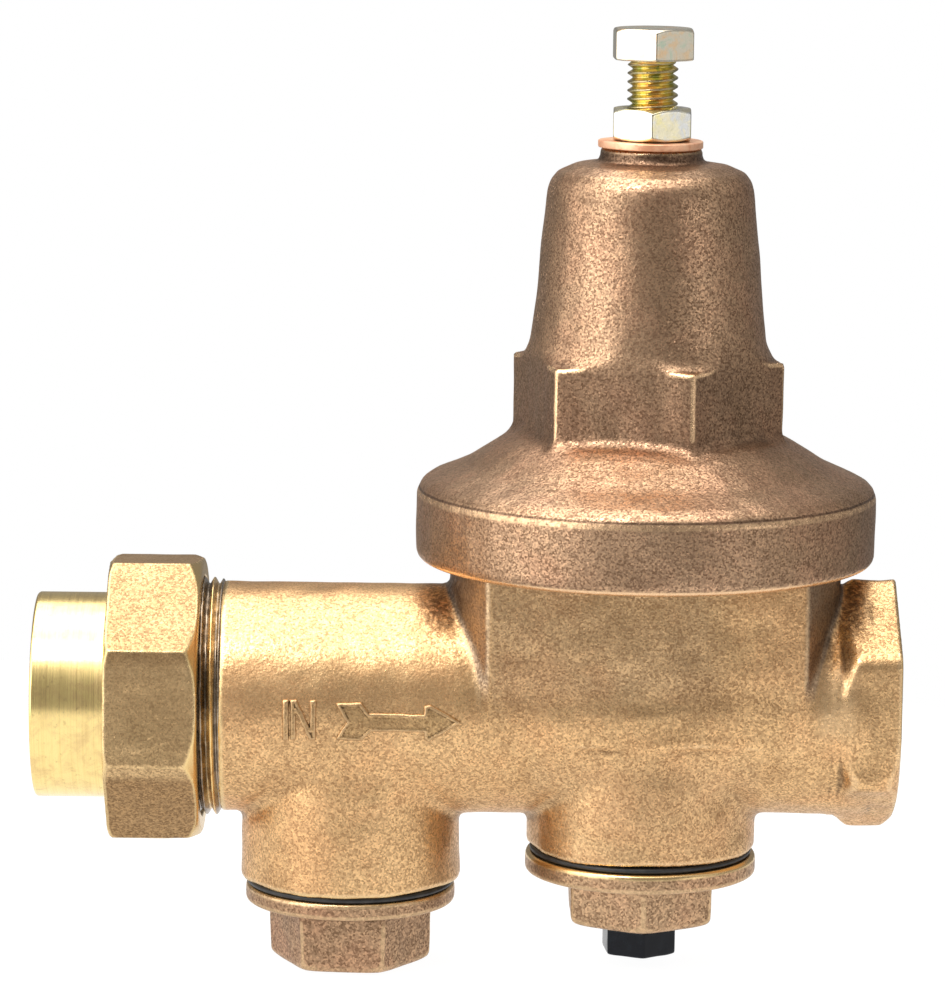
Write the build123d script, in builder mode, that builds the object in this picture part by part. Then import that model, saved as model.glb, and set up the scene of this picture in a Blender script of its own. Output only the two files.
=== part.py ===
from build123d import *
from math import cos, radians, sin
import os

# Pressure reducing valve, nominal 25 mm (1 in) pipe size, spring-and-diaphragm type with a
# built-in strainer and a single union on the inlet.
# Frame: origin at the centre of the outlet mouth, +X out of the outlet (flow direction),
# +Z up the adjusting spindle, -Y towards the side that carries the flow arrow. Millimetres.

# ---------------------------------------------------------------- driving dimensions
stem_x = -47.0             # spindle axis, from the outlet face
strainer_x = -101.6        # axis of the strainer boss

barrel_r = 21.5            # inlet barrel, cast outside
barrel_end_x = -126.0      # inlet barrel ends here and the union thread starts
union_thread_r = 22.3      # union thread on the body, 14 threads per inch
union_thread_end_x = -138.0
outlet_r = 20.5            # outlet barrel, cast outside
outlet_hex_af = 41.6       # outlet hexagon across flats
outlet_hex_start_x = -11.2
waterway_r = 12.7          # nominal 25.4 mm waterway
port_r = 15.7              # pipe thread bore, mean wall radius of a 1 in taper thread
port_length = 17.0
tail_port_length = 16.0

hub_r = 36.5               # upright body cylinder under the bell
hub_flat_y = 21.6          # flats that cut the hub front and back
hub_top_z = 27.5
neck_r = 39.0              # threaded neck that takes the bell
neck_top_z = 38.0
right_boss_r = 21.6        # boss under the seat
right_boss_z = -27.5
left_boss_r = 20.6         # strainer boss
left_boss_z = -34.0

bell_rim_r = 42.85
bell_bore_r = 39.05        # bell thread, over the neck
bell_bottom_z = 25.9
bell_shoulder_z = 41.2
bell_hex_af = 44.45        # wrench flats on the bell
bell_hex_turn = -13.2      # degrees
bell_hex_top_z = 65.0
bell_top_z = 103.7

screw_r = 4.7625           # adjusting screw, 3/8-16 thread
screw_af = 14.2875
screw_tip_z = 88.15
screw_head_z = 119.9
screw_head_h = 5.95
screw_turn = 32.5          # degrees, head corners
lock_nut_turn = 28.4       # degrees, nut corners
nut_h = 5.6                # jam nut
washer_r = 9.5             # copper sealing washer
washer_t = 1.5
running = 0.05             # radial running clearance of turned and threaded fits

seat_r = 8.5               # orifice radius
seat_lip_z = -2.5
disc_gap = 3.25            # disc to seat with the valve open
disc_top_z = seat_lip_z - disc_gap
stem_r = 4.0
spigot_r = 3.0

diaphragm_r = 38.5
diaphragm_t = 2.0
plate_z = 35.0             # underside of the diaphragm plate, valve open

spring_mean_r = 12.6
spring_wire_r = 2.1
spring_coils = 6.5
spring_bottom_z = 37.5
spring_top_z = 83.0

nut_af = 51.4              # union nut, octagon across flats
nut_left_x = -146.5
nut_right_x = -129.0
nut_turn = 5.25            # degrees
tail_r = 19.2              # union tailpiece outside
tail_left_x = -160.5
collar_r = 22.0            # tailpiece collar inside the nut
collar_left_x = -142.5
collar_right_x = -139.0

bottom_plug_r = 21.7
bottom_plug_spigot_r = 17.5
bottom_plug_top_z = -28.7
bottom_plug_flange_z = -32.4
bottom_plug_hex_z = -41.9
bottom_plug_af = 26.7
bottom_plug_turn = 30.9     # degrees
strainer_plug_r = 19.7
strainer_plug_spigot_r = 17.0
strainer_plug_top_z = -35.2
strainer_plug_flange_z = -38.5
strainer_plug_hex_z = -50.2
strainer_plug_af = 27.0
strainer_plug_turn = -4.8  # degrees
gauge_r = 5.0
gauge_af = 12.9
gauge_turn = 36.0          # degrees
gauge_bottom_z = -48.2

os.makedirs("parts", exist_ok=True)


def corner(across_flats, sides=6):
    return across_flats / 2 / cos(radians(180 / sides))


def level(x, z):
    # horizontal plane on the vertical axis at x
    return Plane(origin=(x, 0, z), x_dir=(1, 0, 0), z_dir=(0, 0, 1))


def across(x, z=0.0):
    # plane across the pipe axis: its X is the row's Y, its Y is the row's Z
    return Plane(origin=(x, 0, z), x_dir=(0, 1, 0), z_dir=(1, 0, 0))


def section(x):
    # half-section plane through a vertical axis at x: local X is the radius, local Y is Z
    return Plane(origin=(x, 0, 0), x_dir=(1, 0, 0), z_dir=(0, -1, 0))


def spindle(x):
    return Axis((x, 0, 0), (0, 0, 1))


def keep(piece, name):
    piece.part.label = name
    export_step(piece.part, "parts/" + name + ".step")


# ---------------------------------------------------------------- valve body
# outlet hexagon with its 45 degree step down to the barrel
with BuildPart() as outlet_hex:
    with BuildSketch(across(outlet_hex_start_x)):
        RegularPolygon(corner(outlet_hex_af), 6, rotation=30)
    extrude(amount=-outlet_hex_start_x)
    with BuildSketch(section(0)):
        with BuildLine():
            Polyline((outlet_hex_start_x, 0), (outlet_hex_start_x, 20.5), (-8.0, 23.6), (0, 23.6), (0, 0), close=True)
        make_face()
    revolve(axis=Axis.X, mode=Mode.INTERSECT)

with BuildPart() as valve_body:
    # barrel from the union thread to the outlet, one turned outline about the pipe axis
    with BuildSketch(section(0)):
        with BuildLine():
            Polyline(
                (union_thread_end_x, 0),
                (union_thread_end_x, union_thread_r - 1.0),
                (union_thread_end_x + 1.0, union_thread_r),
                (barrel_end_x, union_thread_r),
                (barrel_end_x + 0.8, barrel_r),
                (stem_x, barrel_r),
                (stem_x, outlet_r),
                (outlet_hex_start_x, outlet_r),
                (outlet_hex_start_x, 0),
                close=True,
            )
        make_face()
    revolve(axis=Axis.X)
    add(outlet_hex.part)
    # hub with front and back flats
    with BuildSketch(level(stem_x, -3)):
        Circle(hub_r)
        Rectangle(2 * hub_r + 4, 2 * hub_flat_y, mode=Mode.INTERSECT)
    extrude(amount=hub_top_z + 3)
    # threaded neck under the bell
    with BuildSketch(level(stem_x, hub_top_z)):
        Circle(neck_r)
    extrude(amount=neck_top_z - hub_top_z)
    # bosses for the two bottom plugs
    with BuildSketch(level(stem_x, right_boss_z)):
        Circle(right_boss_r)
    extrude(amount=-right_boss_z)
    with BuildSketch(level(strainer_x, left_boss_z)):
        Circle(left_boss_r)
    extrude(amount=-left_boss_z)
    # inlet waterway, stepping up over the strainer ledge
    with BuildSketch(across(union_thread_end_x)):
        Circle(waterway_r)
    extrude(amount=-120.0 - union_thread_end_x, mode=Mode.SUBTRACT)
    with BuildSketch(level(strainer_x, 3)):
        Circle(14)
    extrude(amount=9, mode=Mode.SUBTRACT)
    with BuildSketch(across(-121.0, 7)):
        RectangleRounded(18, 8, 2)
    extrude(amount=-101.6 + 121.0, mode=Mode.SUBTRACT)
    with BuildSketch(level(strainer_x, -1)):
        Circle(11)
    extrude(amount=4, mode=Mode.SUBTRACT)
    # strainer chamber and its thread
    with BuildSketch(level(strainer_x, left_boss_z)):
        Circle(16)
    extrude(amount=-1 - left_boss_z, mode=Mode.SUBTRACT)
    with BuildSketch(level(strainer_x, left_boss_z)):
        Circle(strainer_plug_spigot_r + running)
    extrude(amount=7.2, mode=Mode.SUBTRACT)
    # passage from the strainer to the seat chamber
    with BuildSketch(across(strainer_x, -9)):
        RectangleRounded(22, 15, 6)
    extrude(amount=stem_x - strainer_x, mode=Mode.SUBTRACT)
    # seat chamber and its thread
    with BuildSketch(level(stem_x, right_boss_z)):
        Circle(15.5)
    extrude(amount=-right_boss_z, mode=Mode.SUBTRACT)
    with BuildSketch(level(stem_x, right_boss_z)):
        Circle(bottom_plug_spigot_r + running)
    extrude(amount=8.6, mode=Mode.SUBTRACT)
    # seat hole through the web, chamber above it, and the diaphragm chamber
    with BuildSketch(level(stem_x, 0)):
        Circle(12.05)
    extrude(amount=5, mode=Mode.SUBTRACT)
    with BuildSketch(level(stem_x, 5)):
        Circle(16)
    extrude(amount=25, mode=Mode.SUBTRACT)
    with BuildSketch(level(stem_x, 30)):
        Circle(33)
    extrude(amount=8, mode=Mode.SUBTRACT)
    # outlet waterway: down from the upper chamber and out through the pipe thread
    with BuildSketch(across(stem_x + 8, 9.5)):
        RectangleRounded(20, 9, 3)
    extrude(amount=14, mode=Mode.SUBTRACT)
    with BuildSketch(across(-29.0)):
        Circle(waterway_r)
    extrude(amount=29.0, mode=Mode.SUBTRACT)
    with BuildSketch(across(-port_length)):
        Circle(port_r)
    extrude(amount=port_length, mode=Mode.SUBTRACT)
keep(valve_body, "valve_body")

# ---------------------------------------------------------------- bell housing
# outline as radius and height, from the rim up to the boss for the screw
bell_outline = [
    (41.1, bell_bottom_z), (bell_rim_r, 27.4), (bell_rim_r, 39.0), (42.2, 41.0), (40.2, 42.5),
    (35.0, 44.6), (33.5, 45.5), (29.1, 48.5), (26.2, 50.2), (24.3, 51.6), (22.7, 63.5),
    (22.3, 66.6), (21.1, 75.5), (20.25, 84.5), (19.4, 91.9), (19.1, 94.8), (18.9, 96.3),
    (18.4, 97.8), (17.2, 99.3), (14.2, 100.8), (9.4, 101.2), (9.4, bell_top_z),
]
bell_inside = [
    (bell_bore_r, bell_shoulder_z), (34.0, bell_shoulder_z), (33.0, 43.0), (24.0, 48.0),
    (18.6, 52.5), (18.4, 64.0), (15.8, 92.0), (14.8, 96.0), (screw_r + running, 96.5),
]
with BuildPart() as bell_flats:
    with BuildSketch(level(stem_x, 47.0)):
        RegularPolygon(corner(bell_hex_af), 6, rotation=bell_hex_turn)
    extrude(amount=bell_hex_top_z - 47.0)
with BuildPart() as bell_trim:
    # material outside the wrench flats, between the skirt and the cone
    with BuildSketch(level(stem_x, 51.0)):
        Circle(40)
        RegularPolygon(corner(bell_hex_af), 6, rotation=bell_hex_turn, mode=Mode.SUBTRACT)
    extrude(amount=18)
with BuildPart() as bell_housing:
    with BuildSketch(section(stem_x)):
        with BuildLine():
            Polyline((0, bell_bottom_z), *bell_outline, (0, bell_top_z), close=True)
        make_face()
    revolve(axis=spindle(stem_x))
    add(bell_trim.part, mode=Mode.SUBTRACT)
    add(bell_flats.part)
    with BuildSketch(section(stem_x)):
        with BuildLine():
            Polyline(
                (0, bell_bottom_z), (bell_bore_r, bell_bottom_z), *bell_inside,
                (screw_r + running, bell_top_z), (0, bell_top_z), close=True,
            )
        make_face()
    revolve(axis=spindle(stem_x), mode=Mode.SUBTRACT)
keep(bell_housing, "bell_housing")

# ---------------------------------------------------------------- adjusting screw and lock nut
with BuildPart() as adjusting_screw:
    with BuildSketch(level(stem_x, screw_head_z)):
        RegularPolygon(corner(screw_af), 6, rotation=screw_turn)
    extrude(amount=screw_head_h)
    with BuildSketch(section(stem_x)):
        with BuildLine():
            Polyline(
                (0, screw_head_z - 1), (7.6, screw_head_z - 1), (8.3, screw_head_z + 0.4),
                (8.3, screw_head_z + screw_head_h - 0.9), (7.0, screw_head_z + screw_head_h),
                (0, screw_head_z + screw_head_h), close=True,
            )
        make_face()
    revolve(axis=spindle(stem_x), mode=Mode.INTERSECT)
    with BuildSketch(section(stem_x)):
        with BuildLine():
            Polyline(
                (0, screw_tip_z), (screw_r - 0.9, screw_tip_z), (screw_r, screw_tip_z + 0.9),
                (screw_r, screw_head_z), (0, screw_head_z), close=True,
            )
        make_face()
    revolve(axis=spindle(stem_x))
keep(adjusting_screw, "adjusting_screw")

nut_z = bell_top_z + washer_t
with BuildPart() as lock_nut:
    with BuildSketch(level(stem_x, nut_z)):
        RegularPolygon(corner(screw_af), 6, rotation=lock_nut_turn)
    extrude(amount=nut_h)
    with BuildSketch(section(stem_x)):
        with BuildLine():
            Polyline(
                (0, nut_z), (7.0, nut_z), (8.3, nut_z + 0.8), (8.3, nut_z + nut_h - 0.8),
                (7.0, nut_z + nut_h), (0, nut_z + nut_h), close=True,
            )
        make_face()
    revolve(axis=spindle(stem_x), mode=Mode.INTERSECT)
    with BuildSketch(level(stem_x, nut_z)):
        Circle(screw_r + running)
    extrude(amount=nut_h, mode=Mode.SUBTRACT)
keep(lock_nut, "lock_nut")

with BuildPart() as sealing_washer:
    with BuildSketch(level(stem_x, bell_top_z)):
        Circle(washer_r)
        Circle(screw_r + 0.25, mode=Mode.SUBTRACT)
    extrude(amount=washer_t)
    chamfer(sealing_washer.edges().filter_by(GeomType.CIRCLE).sort_by(SortBy.RADIUS)[-2:], 0.3)
keep(sealing_washer, "sealing_washer")

# ---------------------------------------------------------------- spring and its button
with BuildPart() as spring_button:
    with BuildSketch(section(stem_x)):
        with BuildLine():
            Polyline(
                (0, 80.5), (8.5, 80.5), (9.5, 81.5), (9.5, spring_top_z), (14.4, spring_top_z),
                (14.4, 85.0), (13.9, 85.5), (7.5, 85.8), (6.8, 89.4), (5.3, 89.4),
                (5.2, screw_tip_z), (0, screw_tip_z), close=True,
            )
        make_face()
    revolve(axis=spindle(stem_x))
keep(spring_button, "spring_button")

with BuildPart() as range_spring:
    with BuildLine():
        coil = Helix(
            pitch=(spring_top_z - spring_bottom_z - 2 * spring_wire_r - 0.1) / spring_coils,
            height=spring_top_z - spring_bottom_z - 2 * spring_wire_r - 0.1,
            radius=spring_mean_r,
            center=(stem_x, 0, spring_bottom_z + spring_wire_r + 0.05),
        )
    with BuildSketch(Plane(origin=coil @ 0, z_dir=coil % 0)):
        Circle(spring_wire_r)
    sweep(path=coil, is_frenet=True)
keep(range_spring, "range_spring")

# ---------------------------------------------------------------- diaphragm stack
with BuildPart() as friction_ring:
    with BuildSketch(level(stem_x, neck_top_z + diaphragm_t)):
        Circle(38.8)
        Circle(33.6, mode=Mode.SUBTRACT)
    extrude(amount=bell_shoulder_z - neck_top_z - diaphragm_t)
keep(friction_ring, "friction_ring")

with BuildPart() as diaphragm:
    with BuildSketch(section(stem_x)):
        with BuildLine():
            Polyline(
                (spigot_r + 0.05, plate_z - diaphragm_t), (17.2, plate_z - diaphragm_t), (29.5, neck_top_z - 0.4),
                (32.0, neck_top_z), (diaphragm_r, neck_top_z), (diaphragm_r, neck_top_z + diaphragm_t),
                (31.6, neck_top_z + diaphragm_t), (28.9, neck_top_z + diaphragm_t - 0.4), (16.9, plate_z),
                (spigot_r + 0.05, plate_z), close=True,
            )
        make_face()
    revolve(axis=spindle(stem_x))
keep(diaphragm, "diaphragm")

with BuildPart() as diaphragm_plate:
    with BuildSketch(section(stem_x)):
        with BuildLine():
            Polyline(
                (spigot_r + 0.05, plate_z), (16.8, plate_z), (17.4, plate_z + 1.5), (17.4, plate_z + 5.0),
                (15.4, plate_z + 5.0), (15.2, plate_z + 2.5), (spigot_r + 0.05, plate_z + 2.5), close=True,
            )
        make_face()
    revolve(axis=spindle(stem_x))
keep(diaphragm_plate, "diaphragm_plate")

with BuildPart() as diaphragm_washer:
    with BuildSketch(level(stem_x, plate_z - diaphragm_t - 2)):
        Circle(15.5)
        Circle(spigot_r + 0.05, mode=Mode.SUBTRACT)
    extrude(amount=2)
keep(diaphragm_washer, "diaphragm_washer")

with BuildPart() as stem_nut:
    with BuildSketch(level(stem_x, plate_z + 2.5)):
        RegularPolygon(corner(11.11), 6)
        Circle(spigot_r + 0.05, mode=Mode.SUBTRACT)
    extrude(amount=4.8)
keep(stem_nut, "stem_nut")

with BuildPart() as valve_stem:
    with BuildSketch(section(stem_x)):
        with BuildLine():
            Polyline(
                (0, -15.5), (spigot_r, -15.5), (spigot_r, disc_top_z + 1), (stem_r, disc_top_z + 1),
                (stem_r, 31.0), (spigot_r, 31.0), (spigot_r, 43.6), (spigot_r - 0.6, 44.2), (0, 44.2), close=True,
            )
        make_face()
    revolve(axis=spindle(stem_x))
keep(valve_stem, "valve_stem")

# ---------------------------------------------------------------- seat and disc
with BuildPart() as seat_ring:
    with BuildSketch(section(stem_x)):
        with BuildLine():
            Polyline(
                (seat_r, 5), (12.0, 5), (12.0, 0), (14.6, 0), (14.6, -1.5), (10.6, -1.5),
                (9.6, seat_lip_z), (9.0, seat_lip_z), (seat_r, -1.9), close=True,
            )
        make_face()
    revolve(axis=spindle(stem_x))
keep(seat_ring, "seat_ring")

with BuildPart() as seat_disc:
    with BuildSketch(level(stem_x, disc_top_z - 3)):
        Circle(10.9)
        Circle(spigot_r + 0.05, mode=Mode.SUBTRACT)
    extrude(amount=3)
keep(seat_disc, "seat_disc")

with BuildPart() as disc_retainer:
    with BuildSketch(level(stem_x, disc_top_z)):
        Circle(6.8)
        Circle(spigot_r + 0.05, mode=Mode.SUBTRACT)
    extrude(amount=1)
keep(disc_retainer, "disc_retainer")

with BuildPart() as disc_holder:
    with BuildSketch(section(stem_x)):
        with BuildLine():
            Polyline(
                (0, -27.0), (stem_r - 0.5, -27.0), (stem_r, -26.5), (stem_r, -13.2), (11.2, -12.2),
                (12.2, -11.2), (12.2, disc_top_z - 1.2), (10.95, disc_top_z - 1.2), (10.95, disc_top_z - 3),
                (spigot_r + 0.05, disc_top_z - 3), (spigot_r + 0.05, -16.0), (0, -16.0), close=True,
            )
        make_face()
    revolve(axis=spindle(stem_x))
keep(disc_holder, "disc_holder")

# ---------------------------------------------------------------- bottom plug with gauge tapping
with BuildPart() as bottom_plug:
    with BuildSketch(section(stem_x)):
        with BuildLine():
            Polyline(
                (0, bottom_plug_flange_z), (bottom_plug_r - 0.6, bottom_plug_flange_z),
                (bottom_plug_r, bottom_plug_flange_z + 0.8), (bottom_plug_r, bottom_plug_top_z - 0.5),
                (bottom_plug_r - 0.5, bottom_plug_top_z), (bottom_plug_spigot_r, bottom_plug_top_z),
                (bottom_plug_spigot_r, -21.0), (bottom_plug_spigot_r - 1, -20.0), (14.0, -20.0),
                (14.0, -29.6), (7.2, -29.6), (7.2, -20.0), (stem_r + running, -20.0),
                (stem_r + running, -31.4), (0, -31.4), close=True,
            )
        make_face()
    revolve(axis=spindle(stem_x))
    with BuildSketch(level(stem_x, bottom_plug_hex_z)):
        RegularPolygon(corner(bottom_plug_af), 6, rotation=bottom_plug_turn)
    extrude(amount=bottom_plug_flange_z - bottom_plug_hex_z)
    with BuildSketch(level(stem_x, bottom_plug_hex_z)):
        Circle(gauge_r + running)
    extrude(amount=7.4, mode=Mode.SUBTRACT)
    with BuildSketch(level(stem_x, -35.0)):
        Circle(1.5)
    extrude(amount=4.0, mode=Mode.SUBTRACT)
keep(bottom_plug, "bottom_plug")

with BuildPart() as bottom_plug_oring:
    with BuildSketch(level(stem_x, bottom_plug_top_z)):
        Circle(20.9)
        Circle(17.9, mode=Mode.SUBTRACT)
    extrude(amount=right_boss_z - bottom_plug_top_z)
    fillet(bottom_plug_oring.edges().filter_by(GeomType.CIRCLE), 0.35)
keep(bottom_plug_oring, "bottom_plug_oring")

with BuildPart() as gauge_plug:
    with BuildSketch(section(stem_x)):
        with BuildLine():
            Polyline(
                (0, -35.2), (gauge_r - 0.6, -35.2), (gauge_r, -35.8), (gauge_r, -43.0), (0, -43.0), close=True,
            )
        make_face()
    revolve(axis=spindle(stem_x))
    with BuildSketch(level(stem_x, gauge_bottom_z)):
        RegularPolygon(corner(gauge_af), 6, rotation=gauge_turn)
    extrude(amount=-43.0 - gauge_bottom_z)
keep(gauge_plug, "gauge_plug")

with BuildPart() as gauge_plug_oring:
    with BuildSketch(level(stem_x, -43.0)):
        Circle(6.7)
        Circle(5.3, mode=Mode.SUBTRACT)
    extrude(amount=1.1)
    fillet(gauge_plug_oring.edges().filter_by(GeomType.CIRCLE), 0.3)
keep(gauge_plug_oring, "gauge_plug_oring")

# ---------------------------------------------------------------- strainer
with BuildPart() as strainer_plug:
    with BuildSketch(section(strainer_x)):
        with BuildLine():
            Polyline(
                (0, strainer_plug_flange_z), (strainer_plug_r - 0.6, strainer_plug_flange_z),
                (strainer_plug_r, strainer_plug_flange_z + 0.8), (strainer_plug_r, strainer_plug_top_z - 0.5),
                (strainer_plug_r - 0.5, strainer_plug_top_z), (strainer_plug_spigot_r, strainer_plug_top_z),
                (strainer_plug_spigot_r, -28.4), (strainer_plug_spigot_r - 0.9, -27.5), (12.95, -27.5),
                (12.95, -33.5), (0, -33.5), close=True,
            )
        make_face()
    revolve(axis=spindle(strainer_x))
    with BuildSketch(level(strainer_x, strainer_plug_hex_z)):
        RegularPolygon(corner(strainer_plug_af), 6, rotation=strainer_plug_turn)
    extrude(amount=strainer_plug_flange_z - strainer_plug_hex_z)
keep(strainer_plug, "strainer_plug")

with BuildPart() as strainer_plug_oring:
    with BuildSketch(level(strainer_x, strainer_plug_top_z)):
        Circle(19.6)
        Circle(17.4, mode=Mode.SUBTRACT)
    extrude(amount=left_boss_z - strainer_plug_top_z)
    fillet(strainer_plug_oring.edges().filter_by(GeomType.CIRCLE), 0.35)
keep(strainer_plug_oring, "strainer_plug_oring")

# perforated screen tube with plain bands at both ends
with BuildPart() as strainer_screen:
    with BuildSketch(level(strainer_x, -33.4)):
        Circle(12.6)
        Circle(12.0, mode=Mode.SUBTRACT)
    extrude(amount=32.3)
    for row in range(6):
        for turn in range(6):
            a = radians(30.0 * turn + 15.0 * (row % 2))
            with BuildSketch(Plane(origin=(strainer_x, 0, -25.6 + 4.2 * row), x_dir=(0, 0, 1), z_dir=(cos(a), sin(a), 0))):
                Circle(1.3)
            extrude(amount=14, both=True, mode=Mode.SUBTRACT)
keep(strainer_screen, "strainer_screen")

# ---------------------------------------------------------------- union
with BuildPart() as tailpiece:
    with BuildSketch(section(0)):
        with BuildLine():
            Polyline(
                (tail_left_x, port_r), (tail_left_x, tail_r - 0.5), (tail_left_x + 0.5, tail_r),
                (collar_left_x, tail_r), (collar_left_x, collar_r), (collar_right_x, collar_r),
                (collar_right_x, waterway_r), (tail_left_x + tail_port_length, waterway_r),
                (tail_left_x + tail_port_length, port_r), close=True,
            )
        make_face()
    revolve(axis=Axis.X)
keep(tailpiece, "tailpiece")

with BuildPart() as union_gasket:
    with BuildSketch(across(collar_right_x)):
        Circle(20.8)
        Circle(13.2, mode=Mode.SUBTRACT)
    extrude(amount=union_thread_end_x - collar_right_x)
keep(union_gasket, "union_gasket")

with BuildPart() as union_nut:
    with BuildSketch(across(nut_left_x)):
        RegularPolygon(corner(nut_af, 8), 8, rotation=22.5 - nut_turn)
    extrude(amount=nut_right_x - nut_left_x)
    # bevelled corners: small on the pipe side, wide on the body side
    with BuildSketch(section(0)):
        with BuildLine():
            Polyline(
                (nut_left_x, 0), (nut_left_x, 26.8), (nut_left_x + 1.0, 28.0), (nut_right_x - 1.6, 28.0),
                (nut_right_x, 25.6), (nut_right_x, 0), close=True,
            )
        make_face()
    revolve(axis=Axis.X, mode=Mode.INTERSECT)
    with BuildSketch(across(nut_left_x)):
        Circle(tail_r + 0.25)
    extrude(amount=collar_left_x - nut_left_x, mode=Mode.SUBTRACT)
    with BuildSketch(across(collar_left_x)):
        Circle(union_thread_r + 0.1)
    extrude(amount=nut_right_x - collar_left_x, mode=Mode.SUBTRACT)
keep(union_nut, "union_nut")
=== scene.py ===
import math

import bpy
import numpy as np
from mathutils import Matrix, Vector


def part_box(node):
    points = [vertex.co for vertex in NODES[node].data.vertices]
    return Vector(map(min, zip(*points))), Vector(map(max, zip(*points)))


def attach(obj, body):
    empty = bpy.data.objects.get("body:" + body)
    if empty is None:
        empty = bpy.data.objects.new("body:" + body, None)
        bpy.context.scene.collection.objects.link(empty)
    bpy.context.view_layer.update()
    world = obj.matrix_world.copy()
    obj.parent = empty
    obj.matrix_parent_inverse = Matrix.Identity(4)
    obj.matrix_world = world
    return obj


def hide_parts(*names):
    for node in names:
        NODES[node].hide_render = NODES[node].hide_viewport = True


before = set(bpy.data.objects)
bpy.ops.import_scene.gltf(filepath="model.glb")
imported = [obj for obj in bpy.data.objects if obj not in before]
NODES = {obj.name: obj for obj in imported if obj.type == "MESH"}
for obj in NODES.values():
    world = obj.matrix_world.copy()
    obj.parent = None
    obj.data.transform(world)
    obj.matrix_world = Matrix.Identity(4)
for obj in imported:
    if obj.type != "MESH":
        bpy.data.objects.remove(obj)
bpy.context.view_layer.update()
scene = bpy.context.scene
MM = 0.001
K = 1.0        # coarser meshes while working

# axes of the valve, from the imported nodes
_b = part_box("adjusting_screw")
SX = (_b[0].x + _b[1].x) / 2 / MM            # spindle
_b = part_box("strainer_screen")
FX = (_b[0].x + _b[1].x) / 2 / MM            # strainer
F32 = np.float32


# ------------------------------------------------------------------ distance fields
def smin(a, b, k):
    h = np.maximum(k - np.abs(a - b), 0) / k
    return np.minimum(a, b) - h * h * k * 0.25


def smax(a, b, k):
    return -smin(-a, -b, k)


def cap(d, w, lo, hi, k=0.0):
    """d limited to lo..hi along w, with an exact or a rounded corner"""
    e = np.abs(w - (lo + hi) / 2) - (hi - lo) / 2
    if k > 0:
        return smax(d, e, k)
    return np.minimum(np.maximum(d, e), 0) + np.hypot(np.maximum(d, 0), np.maximum(e, 0))


def ngon(x, y, n, apothem, turn=0.0, rnd=0.0):
    """regular polygon with a face normal at angle turn (degrees)"""
    ap = apothem - rnd
    a = math.pi / n
    ang = np.arctan2(y, x) - math.radians(turn)
    ang = np.mod(ang + a, 2 * a) - a
    r = np.hypot(x, y)
    px = r * np.cos(ang)
    py = np.abs(r * np.sin(ang))
    half = ap * math.tan(a)
    return np.where(py > half, np.hypot(px - ap, py - half), px - ap) - rnd


def box2(x, y, hx, hy, rnd=0.0):
    dx, dy = np.abs(x) - hx + rnd, np.abs(y) - hy + rnd
    return np.minimum(np.maximum(dx, dy), 0) + np.hypot(np.maximum(dx, 0), np.maximum(dy, 0)) - rnd


def poly2(x, y, pts):
    """exact distance to a closed polygon, negative inside"""
    pts = np.asarray(pts, float)
    d = np.full(x.shape, 1e9)
    inside = np.zeros(x.shape, bool)
    n = len(pts)
    for i in range(n):
        x0, y0 = pts[i]
        x1, y1 = pts[(i + 1) % n]
        ex, ey = x1 - x0, y1 - y0
        wx, wy = x - x0, y - y0
        t = np.clip((wx * ex + wy * ey) / (ex * ex + ey * ey + 1e-12), 0, 1)
        d = np.minimum(d, (wx - ex * t) ** 2 + (wy - ey * t) ** 2)
        hit = ((y0 > y) != (y1 > y)) & (x < ex * (y - y0) / (ey + (1e-12 if ey >= 0 else -1e-12)) + x0)
        inside ^= hit
    d = np.sqrt(d)
    return np.where(inside, -d, d)


class Profile:
    """lookup of a polygon's distance in (radius, height)"""

    def __init__(self, pts, step=0.12, pad=9.0, rnd=0.0):
        p = np.asarray(pts, float)
        self.lo = p.min(0) - pad
        self.lo[0] = min(self.lo[0], -1.0)
        hi = p.max(0) + pad
        self.n = np.ceil((hi - self.lo) / step).astype(int) + 2
        self.step = step
        gx = self.lo[0] + np.arange(self.n[0]) * step
        gy = self.lo[1] + np.arange(self.n[1]) * step
        X, Y = np.meshgrid(gx, gy, indexing="ij")
        mirrored = [(-a, b) for a, b in pts]
        d = poly2(X.ravel(), Y.ravel(), pts)
        d = np.minimum(d, np.where(X.ravel() < 0, poly2(X.ravel(), Y.ravel(), mirrored), 1e9)).reshape(X.shape)
        if rnd > 0:                       # soften corners by a small box blur
            k = max(1, int(rnd / step))
            for _ in range(2):
                for ax in (0, 1):
                    c = np.cumsum(np.pad(d, [(k + 1, k) if a == ax else (0, 0) for a in (0, 1)], mode="edge"), axis=ax)
                    m = d.shape[ax]
                    hi_ = np.take(c, np.arange(2 * k + 1, 2 * k + 1 + m), axis=ax)
                    lo_ = np.take(c, np.arange(0, m), axis=ax)
                    d = (hi_ - lo_) / (2 * k + 1)
        self.d = d

    def __call__(self, r, z):
        u = np.clip((r - self.lo[0]) / self.step, 0, self.n[0] - 1.001)
        v = np.clip((z - self.lo[1]) / self.step, 0, self.n[1] - 1.001)
        i, j = u.astype(int), v.astype(int)
        u, v = u - i, v - j
        D = self.d
        return (D[i, j] * (1 - u) + D[i + 1, j] * u) * (1 - v) + (D[i, j + 1] * (1 - u) + D[i + 1, j + 1] * u) * v


_waves = {}


def lumps(P, size, seed, n=14):
    """smooth seeded unevenness, about -1 to 1, with features about size mm"""
    key = (size, seed, n)
    if key not in _waves:
        rng = np.random.RandomState(seed)
        d = rng.normal(size=(n, 3))
        d /= np.linalg.norm(d, axis=1)[:, None]
        _waves[key] = (d * (2 * math.pi / (size * rng.uniform(1.4, 3.2, n)))[:, None], rng.uniform(0, 6.28, n))
    w, ph = _waves[key]
    out = np.zeros(len(P), F32)
    Pf = P.astype(F32)
    for i in range(n):
        out += np.sin(Pf @ w[i].astype(F32) + F32(ph[i]))
    return out / (n ** 0.5) / 1.2


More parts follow.
